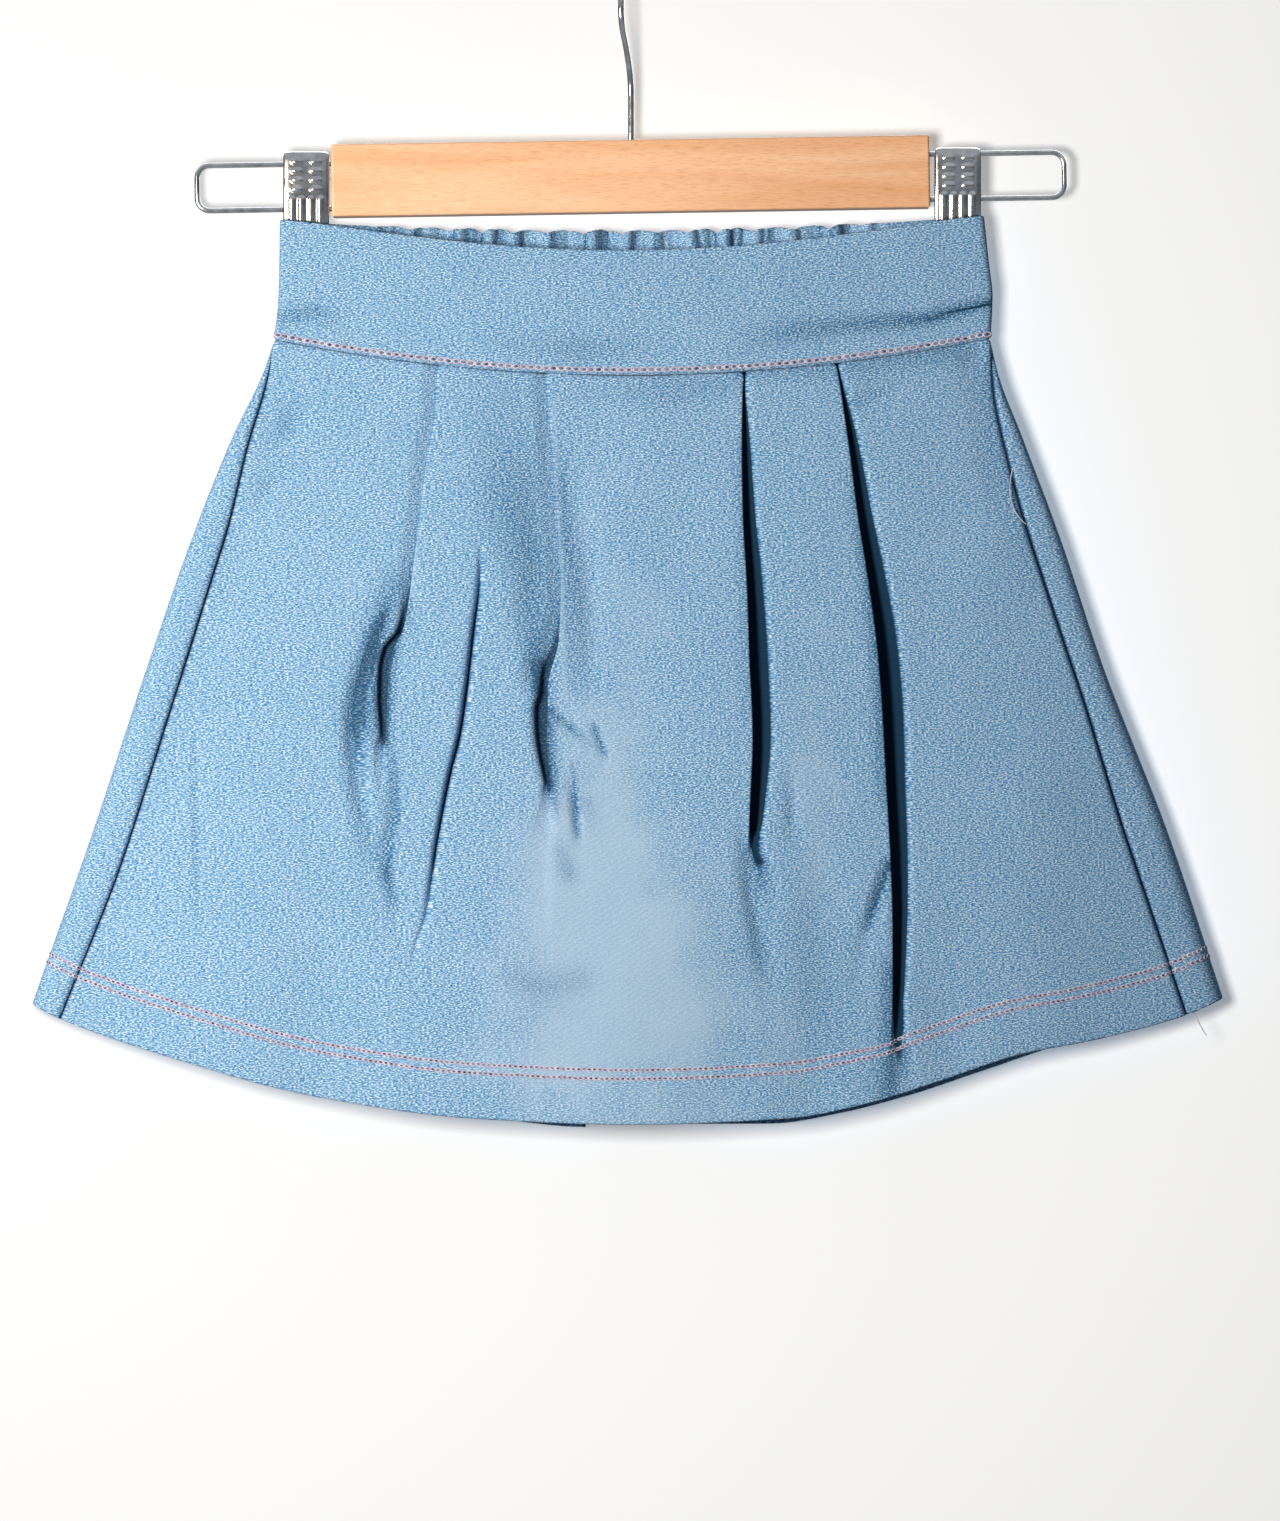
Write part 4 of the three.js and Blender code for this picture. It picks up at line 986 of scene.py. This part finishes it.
class SkirtSettings(bpy.types.PropertyGroup):
    """Cloth, sewing and colours of the skirt."""

    cloth: length_property("Cloth thickness", "Thickness of one layer of denim", 0.6, 0.4, 1.5)
    fold_radius: length_property(
        "Pleat radius", "Radius of the pressed fold of a pleat", 0.42, 0.3, 2)
    hem: length_property(
        "Hem allowance", "Cloth that is turned up inside the hem", 22, 5, 40)
    hem_pitch: length_property("Hem stitch", "Length of a stitch of the hem", 2.1, 1.5, 5)
    waist_pitch: length_property(
        "Waist stitch", "Length of a stitch above the waist seam", 3.0, 1.5, 6)
    rows: IntProperty(
        name="Panel rows", description="Rows of the front panel's grid", default=100,
        min=30, max=140)
    denim_deep: colour_property("Deep denim", "Indigo of the warp threads", "#1f70b0")
    denim_mid: colour_property("Denim", "Middle tone of the washed denim", "#77aed8")
    denim_pale: colour_property("Pale denim", "Washed out tone of the denim", "#a9d3ec")
    # Worn denim is the paler patch, partly painted light; folded and unwashed denim are the darker
    # cloth of folds and pleats, partly painted shade.
    denim_worn_and_lit: colour_property("Worn and lit denim", "Smooth worn cloth low on the front", "#a4c4de")
    denim_fold_and_shade: colour_property("Folded and shaded denim", "Cloth along the folds", "#2c6c9c")
    denim_unwashed_and_shade: colour_property("Unwashed and shaded denim", "Cloth inside the pleats", "#0f334d")
    weft_fleck: colour_property("Weft flecks", "Undyed weft that shows in flecks", "#d6edf6")
    thread: colour_property("Thread", "Topstitching thread", "#dbdcec")


class HangerSettings(bpy.types.PropertyGroup):
    """Metal and wood of the hanger."""

    emboss: length_property(
        "Emboss", "Height of the pressed ribs and dimples of the clips", 0.55, 0, 1)
    wood_dark: colour_property("Dark wood", "Darker figure of the beech", "#e9b382")
    wood_pale: colour_property("Pale wood", "Paler figure of the beech", "#fbd2ac")
    plate: colour_property("Plate", "Chrome plate", "#cdc8c1")


class StageSettings(bpy.types.PropertyGroup):
    """Camera and light."""

    distance: FloatProperty(
        name="Camera distance", description="Camera to hanger", default=3.0, min=1, max=8,
        unit="LENGTH")
    view_height: FloatProperty(
        name="View height", description="Height of the view at the hanger", default=0.610,
        min=0.2, max=2, unit="LENGTH")
    key_power: FloatProperty(
        name="Window light", description="Power of the light on the left", default=14.8,
        min=0, subtype="POWER")
    fill_power: FloatProperty(
        name="Fill light", description="Power of the fill light in front", default=0.9, min=0,
        subtype="POWER")
    wash_power: FloatProperty(
        name="Wall light", description="Power of the light that falls on the wall alone",
        default=16.5, min=0, subtype="POWER")
    wall_glow: FloatProperty(
        name="Wall glow", description="Light that the white wall adds of its own", default=0.12,
        min=0, max=1)
    room_light: FloatProperty(
        name="Room light", description="Strength of the light from the room", default=0.18,
        min=0, max=2)


# ----------------------------------------------------------------------------- operators

def denim(context):
    """Material of the panels."""
    return shared_material("washed stretch denim", washed_denim, context.scene.skirt)


def band_denim(context):
    """Material of the two layers of the waistbands."""
    return shared_material("washed stretch denim, doubled", washed_denim, context.scene.skirt)


def plate(context):
    """Material of the wires and clips."""
    return shared_material("nickel chrome plate", chrome_plate, context.scene.hanger)


def panel_levels(count):
    """Levels of a panel's grid, close together below the waist seam and at the hem."""
    return np.concatenate((np.array([0, 0.002, 0.005, 0.01]), np.linspace(0.017, 0.92, count),
                           np.linspace(0.928, 1, 12)))


def front_surface(radius):
    """Front panel as a surface over t, with its listed creases."""
    height = panel_height(FRONT_WAIST, FRONT_HEM)

    def surface(t):
        t = t[:, None]
        x, y, _ = front_section(t, radius)
        points = bowed(SKIRT_LEVELS, t, x, y, True, height)
        fade = smoothstep(t / 0.05)
        press = crease_depth(points, PANEL_CREASES)
        slack = ripple(points, seed=4, sizes=(34, 61, 95), height=0.45)
        points[..., 1] += press + slack * fade
        return points

    return surface


class SKIRT_OT_front_panel(bpy.types.Operator):
    """Front panel with four knife pleats and its turned-up hem"""

    bl_idname = "skirt.front_panel"
    bl_label = "Front panel"

    def execute(self, context):
        settings = context.scene.skirt
        radius = settings.fold_radius / MM
        levels = panel_levels(settings.rows - 16)
        face, outward, whole = turned_under(
            front_surface(radius), levels, 1, depth=settings.hem / MM, radius=0.5,
            rolls={"top": 0.9, "sides": 2.3})
        inner = front_section(levels[:, None], radius)[2]
        # Darker inside the pleats, partly deep dye and partly painted shade in their recesses:
        # pressed flat, the left pleats hide most of it; the right ones stand open and show it,
        # near black navy in their gaps. The marks add dye and painted shade in the crumpled cloth,
        # and the side seams get painted shade.
        pressed = whole[:len(levels), :, 0] < 5
        starts = np.where(pressed, 1.05, 0.05)
        pleat_dye_and_shade = np.where(pressed, 0.92, 1.0) * smoothstep((inner - starts) / 1.5)
        marks = np.minimum(crease_depth(whole, INDIGO_AND_SHADE_MARKS), 0.88)
        indigo_and_shade = np.maximum(seam_shade(whole, pleat_dye_and_shade), marks)
        # Paler in a washed-out patch low on the front, partly painted light where it bulges towards
        # the light, and in painted highlights along the left fold edges.
        cloth_piece("front_panel_cloth", whole, settings.cloth, denim(context),
                    "front_panel", ["front_waistband"], indigo_and_shade, crease_depth(whole, FADED_AND_LIT_MARKS))
        FACES["front"] = (face, outward)
        return {"FINISHED"}


def back_surface(side):
    """Back panel as a surface over t: gathers that fade out, then a soft flare."""
    height = panel_height(BACK_WAIST, BACK_HEM)

    def surface(t):
        t = t[:, None]
        opening = np.clip((t - VENT_START) / (1 - VENT_START), 0, 1) ** 1.3
        middle = side * (SEAM_GAP / 2 + VENT_HALF_WIDTH * opening)
        gathered = GATHER_DEPTH * (1 - smoothstep(t / 0.5))

        def depth_at(u):
            flare = 1.8 * t * (1 - u * u) * np.sin(2 * math.pi * 2.5 * u)
            return gathered * gather_depth(u) + flare

        x, y = back_half(SKIRT_LEVELS, t, side, middle, depth_at)
        front = y < FRONT_Y + SKIRT_LEVELS.read("fold", t) / 2
        points = bowed(SKIRT_LEVELS, t, x, y, front, height)
        slack = ripple(points, seed=9, sizes=(30, 52, 88), height=0.8)
        behind = smoothstep((points[..., 1] + 4) / 4)
        points[..., 1] += slack * behind * smoothstep(t / 0.05)
        return points

    return surface


class SKIRT_OT_back_panels(bpy.types.Operator):
    """Back panels, joined at the centre back and open in a vent above the hem"""

    bl_idname = "skirt.back_panels"
    bl_label = "Back panels"

    def execute(self, context):
        settings = context.scene.skirt
        for side, word in ((-1, "left"), (1, "right")):
            face, outward, whole = turned_under(
                back_surface(side), panel_levels(76), side, depth=settings.hem / MM,
                radius=0.5, rolls={"top": 0.9, "sides": 1.8})
            # Darker in the valleys of the gathers, partly dye that stayed there and partly painted
            # shade, ending 150 mm below the waist; painted shade along the side seams as well.
            u = whole[..., 0] / 150
            valley = np.clip(-gather_depth(u) * (whole[..., 2] + 300) / 150, 0, 1)
            indigo_and_shade = seam_shade(whole, np.zeros(face.shape[:2])) + 0.6 * valley
            cloth_piece(f"back_panel_{word}_cloth", whole, settings.cloth, denim(context),
                        f"back_panel_{word}", ["back_waistband"], indigo_and_shade)
            FACES["back_" + word] = (face, outward)
        return {"FINISHED"}


def front_band_surface():
    """Front waistband as a surface over t, with its listed creases."""
    height = band_height(FRONT_TOP, FRONT_WAIST)

    def surface(t):
        t = t[:, None]
        left = beside_seam(side_fold(BAND_LEVELS, t, -1), -1)
        right = beside_seam(side_fold(BAND_LEVELS, t, 1), 1)
        middle = steps(left[0][:, -1:], right[0][:, :1], 120, (False, False))
        x = np.hstack((left[0], middle, right[0]))
        y = FRONT_Y + np.hstack((left[1], 0 * middle, right[1]))
        points = bowed(BAND_LEVELS, t, x, y, True, height)
        press = crease_depth(points, BAND_CREASES)
        slack = ripple(points, seed=3, sizes=(26, 47, 80), height=0.35)
        points[..., 1] += press + slack
        return points

    return surface


def back_band_surface():
    """Back waistband as a surface over t: gathers from edge to edge, and a frilled top."""
    height = band_height(BACK_TOP, BACK_WAIST)

    def surface(t):
        t = t[:, None]

        def depth_at(u):
            shift = 0.012 * np.sin(3.1 * t + 17 * u)
            return GATHER_DEPTH * gather_depth(u + shift) * (1.15 - 0.3 * t)

        left = back_half(BAND_LEVELS, t, -1, 0, depth_at)
        right = back_half(BAND_LEVELS, t, 1, 0, depth_at)
        x = np.hstack((left[0], right[0][:, -2::-1]))
        y = np.hstack((left[1], right[1][:, -2::-1]))
        points = bowed(BAND_LEVELS, t, x, y, False, height)
        frill = gather_depth(x / BAND_HALF_WIDTH + 0.01) * (1 - t) ** 2
        points[..., 2] += RUFFLE_HEIGHT * frill
        return points

    return surface


class SKIRT_OT_waistbands(bpy.types.Operator):
    """Smooth front waistband and gathered back waistband, each folded at its top edge"""

    bl_idname = "skirt.waistbands"
    bl_label = "Waistbands"

    def execute(self, context):
        settings = context.scene.skirt
        for word, surface, facing, rests_on in (
                ("front", front_band_surface(), 1, ["back_waistband"]),
                ("back", back_band_surface(), -1, ["clip_left", "clip_right"])):
            face, outward, whole = turned_under(
                surface, np.linspace(0, 1, 26), facing, depth=44, radius=0.4,
                rolls={"bottom": 0.5, "sides": 0.7}, at_top=True)
            # Darker at the side seams, along the front band's creases and in the back band's
            # gathers and the folds between them: partly dye that stayed there, partly painted
            # shade.
            indigo_and_shade = seam_shade(whole, np.zeros(face.shape[:2]), at_top=True)
            if word == "front":
                indigo_and_shade = indigo_and_shade + crease_depth(whole, BAND_CREASES) * 0.7
            else:
                folds = [((fold, -90, 0.9, 1), (fold + lean, -112, 1.1, 0.9),
                          (fold + lean, -150, 1.6, 0.3)) for fold, lean in GATHER_FOLDS]
                gather = gather_depth(whole[..., 0] / BAND_HALF_WIDTH)
                indigo_and_shade = indigo_and_shade + 0.4 * smoothstep((gather - 0.35) / 0.6)
                indigo_and_shade = np.maximum(indigo_and_shade, crease_depth(whole, folds))
            cloth_piece(f"{word}_waistband_cloth", whole, settings.cloth, band_denim(context),
                        f"{word}_waistband", rests_on, indigo_and_shade)
            FACES[word + "_band"] = (face, outward)
        return {"FINISHED"}


class SKIRT_OT_stitching(bpy.types.Operator):
    """Looped stitches: two rows on the hem and one above the waist seam"""

    bl_idname = "skirt.stitching"
    bl_label = "Stitching"

    def execute(self, context):
        settings = context.scene.skirt
        materials = [
            shared_material("polyester thread", polyester_thread, settings),
            shared_material("needle hole in denim", shaded_needle_hole),
        ]
        thickness = settings.cloth / MM / 2
        for name, key in (("front_hem_stitches", "front"),
                          ("back_left_hem_stitches", "back_left"),
                          ("back_right_hem_stitches", "back_right")):
            face, outward = FACES[key]
            rows = [line_above(face, outward, distance) for distance in HEM_ROWS]
            rows = [(place + normal * thickness, normal) for place, normal in rows]
            piece = chain_stitches(name, rows, settings.hem_pitch / MM, width=1.3, thread=0.5,
                                   materials=materials)
        for name, key in (("front_waist_stitches", "front_band"),
                          ("back_waist_stitches", "back_band")):
            face, outward = FACES[key]
            place, normal = line_above(face, outward, WAIST_ROW)
            piece = chain_stitches(name, [(place + normal * thickness, normal)],
                                   settings.waist_pitch / MM, width=1.8, thread=0.6,
                                   materials=materials)
        # Loose thread: a loop at the right side seam and a tail at the right hem corner.
        for name, ends in (("thread_loop", ((152.7, -7.6, -200), (150.2, -9.4, -209),
                                            (151.6, -9.6, -217), (158, -7.6, -222))),
                           ("thread_tail", ((222.6, -6.6, -413), (225.4, -8.2, -417),
                                            (227, -7.6, -422), (230.2, -6.8, -426.5)))):
            vertices, faces, _ = tube(cubic(ends), ACROSS, radius=0.22, sides=6)
            piece = new_piece(name, vertices, faces, materials[:1])
        return {"FINISHED"}


def hung(points):
    """Points that are measured from the middle of the level bar's top, tilted 0.9 degrees."""
    tilt = math.radians(0.9)
    turn = np.array(((math.cos(tilt), 0, -math.sin(tilt)), (0, 1, 0),
                     (math.sin(tilt), 0, math.cos(tilt))))
    return points @ turn.T + (-0.4, 0, -68)


def round_corner(centre, radius, start, end, count=9):
    """Arc of points in the XZ plane, angles in degrees from +X towards +Z."""
    a = np.radians(np.linspace(start, end, count))
    return np.stack((centre[0] + radius * np.cos(a), 0 * a, centre[1] + radius * np.sin(a)), -1)


class SKIRT_OT_hanger_wires(bpy.types.Operator):
    """Hook and end loops of plated wire"""

    bl_idname = "skirt.hanger_wires"
    bl_label = "Hook and loops"

    def execute(self, context):
        # Loops: out of the bar's end, round two corners and back, tilted with the bar.
        upper, lower, bend, corner = -7.4, -25.5, 168.9, 5.0
        run = np.linspace(120.1, bend, 12)[:-1]
        out = np.stack((run, 0 * run, 0 * run + upper), -1)
        home = np.stack((run[::-1], 0 * run, 0 * run + lower), -1)
        loop = np.concatenate((
            out, round_corner((bend, upper - corner), corner, 90, 0),
            round_corner((bend, lower + corner), corner, 0, -90), home))
        for side, word in ((-1, "left"), (1, "right")):
            wire_piece(f"wire_loop_{word}", hung(loop * (side, 1, 1)), ACROSS, 1.05,
                       plate(context), f"hanger_loop_{word}")
        # Hook: stem, cubic bend and round top, in a plane turned 76.4 degrees. The wire's
        # underside at the top is the origin.
        wire, radius = 1.2, 17.0
        centre = wire - radius
        leaves, tip = math.radians(225), math.radians(32)
        meet = np.array((radius * math.cos(leaves), centre + radius * math.sin(leaves)))
        heading = np.array((meet[1] - centre, -meet[0])) / radius
        foot, head = np.array((0.0, -67.7)), np.array((0.0, -50.0))
        bend = cubic((head, head + (0, 8.5), meet - heading * 8.5, meet))
        a = np.linspace(leaves, tip, 60)[1:, None]
        top = np.hstack((radius * np.cos(a), centre + radius * np.sin(a)))
        stem = foot + np.linspace(0, 1, 8)[:-1, None] * (head - foot)
        out, up = np.concatenate((stem, bend, top)).T
        plane = math.radians(76.4)
        path = np.stack((out * math.cos(plane), out * math.sin(plane), up), -1)
        side = np.array((math.sin(plane), -math.cos(plane), 0.0))
        wire_piece("hook_wire", path, side, wire, plate(context), "hanger_hook")
        return {"FINISHED"}


def clip_relief(x, drop, height):
    """Pressed pattern of a clip: two columns of four ovals above four round-topped ribs."""
    relief = np.zeros_like(x)
    for centre in (-3.8, 3.8):
        for row in (4.4, 8.1, 11.8, 15.5):
            d2 = ((x - centre) / 2.3) ** 2 + ((drop - row) / 1.15) ** 2
            relief = np.maximum(relief, 1 - smoothstep((np.sqrt(d2) - 0.55) / 0.6))
    for centre in (-5.7, -1.9, 1.9, 5.7):
        above = np.maximum(19.4 - drop, 0)
        below = np.maximum(drop - 34, 0)
        distance = np.sqrt((x - centre) ** 2 + above ** 2 + below ** 2)
        relief = np.maximum(relief, 1 - smoothstep((distance - 0.5) / 0.95))
    return height * relief


class SKIRT_OT_clips(bpy.types.Operator):
    """Clips bent from one plated sheet, with a pressed pattern"""

    bl_idname = "skirt.clips"
    bl_label = "Clips"

    def execute(self, context):
        # Half of the side view, from the middle of its top: distance out and drop.
        line = np.array(((0, 0.5), (2.6, 0.5), (4.1, 1.1), (4.6, 2.6), (4.6, 24), (1.56, 36),
                         (1.56, 41)), float)
        line = np.concatenate((line[:0:-1] * (-1, 1), line))
        for _ in range(3):
            # Corner cutting: each corner gives way to points a quarter along its two sides.
            a, b = line[:-1], line[1:]
            cut = np.stack((0.75 * a + 0.25 * b, 0.25 * a + 0.75 * b), 1).reshape(-1, 2)
            line = np.concatenate((line[:1], cut[1:-1], line[-1:]))
        walked = lengths(line, 0)
        rows, columns = 200, 49
        s = np.linspace(0, walked[-1], rows)
        out = np.interp(s, walked, line[:, 0])[:, None]
        drop = np.interp(s, walked, line[:, 1])[:, None]
        w = np.linspace(-1, 1, columns)[None, :]
        x = 9 * w * (1 - 0.06 * np.exp(-((drop - 0.5) / 0.9) ** 2))
        along = np.gradient(np.hstack((out, -drop)), axis=0)
        along /= np.linalg.norm(along, axis=1, keepdims=True)
        normal = np.stack((-along[:, 1], along[:, 0]), -1)
        face = smoothstep((drop - 2.2) / 1.2)
        push = clip_relief(x, drop, context.scene.hanger.emboss / MM) * face
        push = push + 0.25 * (1 - w ** 2) * face - 0.5 * np.abs(w) ** 10
        y = out + normal[:, :1] * push
        z = -drop + normal[:, 1:] * push
        for word, centre, top in (("left", -130.1, -72.4), ("right", 131.0, -70.8)):
            points = np.stack((x + centre, y, z + top), -1)
            piece = new_piece(f"clip_{word}_sheet", points.reshape(-1, 3),
                              grid_faces(rows, columns).tolist(), [plate(context)])
            wall = piece.modifiers.new("sheet thickness", "SOLIDIFY")
            wall.thickness = 0.8 * MM
            wall.offset = 0
            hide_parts(f"clip_{word}")
        return {"FINISHED"}


class SKIRT_OT_bar(bpy.types.Operator):
    """Wooden bar with slightly eased edges"""

    bl_idname = "skirt.bar"
    bl_label = "Wooden bar"

    def execute(self, context):
        wood = shared_material("satin lacquered beech", lacquered_beech, context.scene.hanger)
        corners = np.array([(x, y, z) for x in (-119.8, 119.8) for y in (-6, 6)
                            for z in (-29, 0)], float)
        faces = [(0, 1, 3, 2), (4, 6, 7, 5), (0, 4, 5, 1), (2, 3, 7, 6), (0, 2, 6, 4),
                 (1, 5, 7, 3)]
        piece = new_piece("wooden_bar", hung(corners), faces, [wood])
        eased = piece.modifiers.new("eased edges", "BEVEL")
        eased.width = 0.9 * MM
        eased.segments = 3
        eased.harden_normals = True
        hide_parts("hanger_bar")
        return {"FINISHED"}


def plain_card(name, corners, colour, glow=0.0):
    """Flat backdrop that shows only from the front and casts nothing on the skirt."""
    material, tree = new_material(name)
    facing = add_node(tree, "ShaderNodeNewGeometry").outputs["Backfacing"]
    paint = add_node(tree, "ShaderNodeBsdfPrincipled", {
        "Base Color": linear(colour), "Roughness": 1.0, "Specular IOR Level": 0.0,
        "Emission Color": linear(colour), "Emission Strength": glow})
    clear = add_node(tree, "ShaderNodeBsdfTransparent")
    mix = add_node(tree, "ShaderNodeMixShader", {
        "Fac": facing, 1: paint.outputs["BSDF"], 2: clear.outputs["BSDF"]})
    add_node(tree, "ShaderNodeOutputMaterial", {"Surface": mix.outputs["Shader"]})
    mesh = bpy.data.meshes.new(name)
    mesh.from_pydata(corners, [], [(0, 1, 2, 3)])
    mesh.materials.append(material)
    card = bpy.data.objects.new(name, mesh)
    bpy.context.collection.objects.link(card)
    for ray in ("visible_diffuse", "visible_glossy", "visible_transmission", "visible_shadow"):
        setattr(card, ray, False)
    return card


def area_light(name, place, target, size, power, colour="#ffffff"):
    """Square soft light that faces a point."""
    light = bpy.data.lights.new(name, "AREA")
    light.size = size
    light.energy = power
    light.color = linear(colour)[:3]
    lamp = bpy.data.objects.new(name, light)
    lamp.location = place
    heading = Vector(target) - Vector(place)
    lamp.rotation_euler = heading.to_track_quat("-Z", "Y").to_euler()
    bpy.context.collection.objects.link(lamp)
    return lamp


class SKIRT_OT_stage(bpy.types.Operator):
    """White wall, pale floor, window light, fill and camera"""

    bl_idname = "skirt.stage"
    bl_label = "Stage"

    def execute(self, context):
        settings = context.scene.stage
        behind = 0.0205
        wall = plain_card("white_wall", [(-3, behind, -2.5), (3, behind, -2.5), (3, behind, 2),
                                         (-3, behind, 2)], "#f7f5f2", settings.wall_glow)
        plain_card("pale_floor", [(-4, -4, -0.8), (4, -4, -0.8), (4, 4, -0.8), (-4, 4, -0.8)],
                   "#eeedeb", 0.45)
        middle = (0.0, 0.0, -0.28)
        window = area_light("window", (-0.6, -0.86, -0.22), (-0.03, 0, -0.28), 0.36,
                            settings.key_power, "#fff0e4")
        fills = [area_light("fill_front", (0.3, -2.2, 0.2), middle, 1.2, settings.fill_power,
                            "#cfe4ff"),
                 area_light("fill_behind", (0.3, 2.4, 0.8), middle, 2.0,
                            settings.fill_power * 74, "#eef6ff")]
        # The wall has a light of its own, nearly square to it, so that shadows stay close.
        wash = area_light("wall_wash", (-0.2, -1.5, -0.28), middle, 0.24, settings.wash_power)
        glow = area_light("wall_glow", (-1.3, -1.2, -0.2), (-0.4, 0, -0.3), 0.8,
                          settings.wash_power * 0.5)
        glow.data.use_shadow = False
        for lamp, state in ((window, "EXCLUDE"), (fills[0], "EXCLUDE"), (wash, "INCLUDE"),
                            (glow, "INCLUDE")):
            lit = bpy.data.collections.new(lamp.name + " lights")
            lit.objects.link(wall)
            lit.collection_objects[0].light_linking.link_state = state
            lamp.light_linking.receiver_collection = lit
        world = bpy.data.worlds.new("bright room")
        context.scene.world = world
        world.use_nodes = True
        tree = world.node_tree
        tree.nodes.clear()
        direction = add_node(tree, "ShaderNodeTexCoord").outputs["Generated"]
        parts = add_node(tree, "ShaderNodeSeparateXYZ", {"Vector": direction})
        # Bright above, dim at eye level, where the metal mirrors it.
        room = ramp(tree, ranged(tree, parts.outputs["Z"], -1.0, 1.0),
                    (0.0, linear("#c4d2e0")), (0.42, linear("#9aa5b0")), (0.5, linear("#5c6066")),
                    (0.56, linear("#98a2ac")), (0.75, linear("#e4f0ff")))
        ray = add_node(tree, "ShaderNodeLightPath").outputs
        seen = ray["Is Camera Ray"]
        colour = mixed(tree, seen, room, linear("#f2f2f2"))
        strength = mixed(tree, ray["Is Glossy Ray"], settings.room_light, 0.75,
                         data_type="FLOAT")
        strength = mixed(tree, seen, strength, 1.0, data_type="FLOAT")
        back = add_node(tree, "ShaderNodeBackground", {"Color": colour, "Strength": strength})
        add_node(tree, "ShaderNodeOutputWorld", {"Surface": back.outputs["Background"]})
        data = bpy.data.cameras.new("camera")
        data.sensor_fit = "AUTO"
        data.sensor_width = 36
        data.lens = 36 * settings.distance / settings.view_height
        data.clip_start = 0.05
        data.clip_end = 50
        camera = bpy.data.objects.new("camera", data)
        camera.location = (0.0036, -settings.distance, -0.3166)
        camera.rotation_euler = (math.pi / 2, 0, 0)
        context.collection.objects.link(camera)
        context.scene.camera = camera
        context.scene.view_settings.view_transform = "Standard"
        context.scene.view_settings.look = "None"
        return {"FINISHED"}


OPERATORS = (
    SKIRT_OT_waistbands,
    SKIRT_OT_front_panel,
    SKIRT_OT_back_panels,
    SKIRT_OT_stitching,
    SKIRT_OT_hanger_wires,
    SKIRT_OT_clips,
    SKIRT_OT_bar,
    SKIRT_OT_stage,
)


class SKIRT_PT_parts(bpy.types.Panel):
    """Sizes, colours and pieces of the skirt"""

    bl_idname = "SKIRT_PT_parts"
    bl_label = "Denim skirt"
    bl_space_type = "VIEW_3D"
    bl_region_type = "UI"
    bl_category = "Skirt"

    def draw(self, context):
        for group in (context.scene.skirt, context.scene.hanger, context.scene.stage):
            box = self.layout.box()
            for name in group.bl_rna.properties.keys():
                if name not in ("rna_type", "name"):
                    box.prop(group, name)
        for operator in OPERATORS:
            self.layout.operator(operator.bl_idname)


GROUPS = {"skirt": SkirtSettings, "hanger": HangerSettings, "stage": StageSettings}


def register():
    """Registers the classes and puts the settings on the scene."""
    for item in (*GROUPS.values(), *OPERATORS, SKIRT_PT_parts):
        bpy.utils.register_class(item)
    for name, group in GROUPS.items():
        setattr(bpy.types.Scene, name, PointerProperty(type=group))


def unregister():
    """Takes the settings and classes away again."""
    for name in GROUPS:
        delattr(bpy.types.Scene, name)
    for item in reversed((*GROUPS.values(), *OPERATORS, SKIRT_PT_parts)):
        bpy.utils.unregister_class(item)


def main():
    register()
    for operator in OPERATORS:
        group, name = operator.bl_idname.split(".")
        getattr(getattr(bpy.ops, group), name)()


if __name__ == "__main__":
    main()
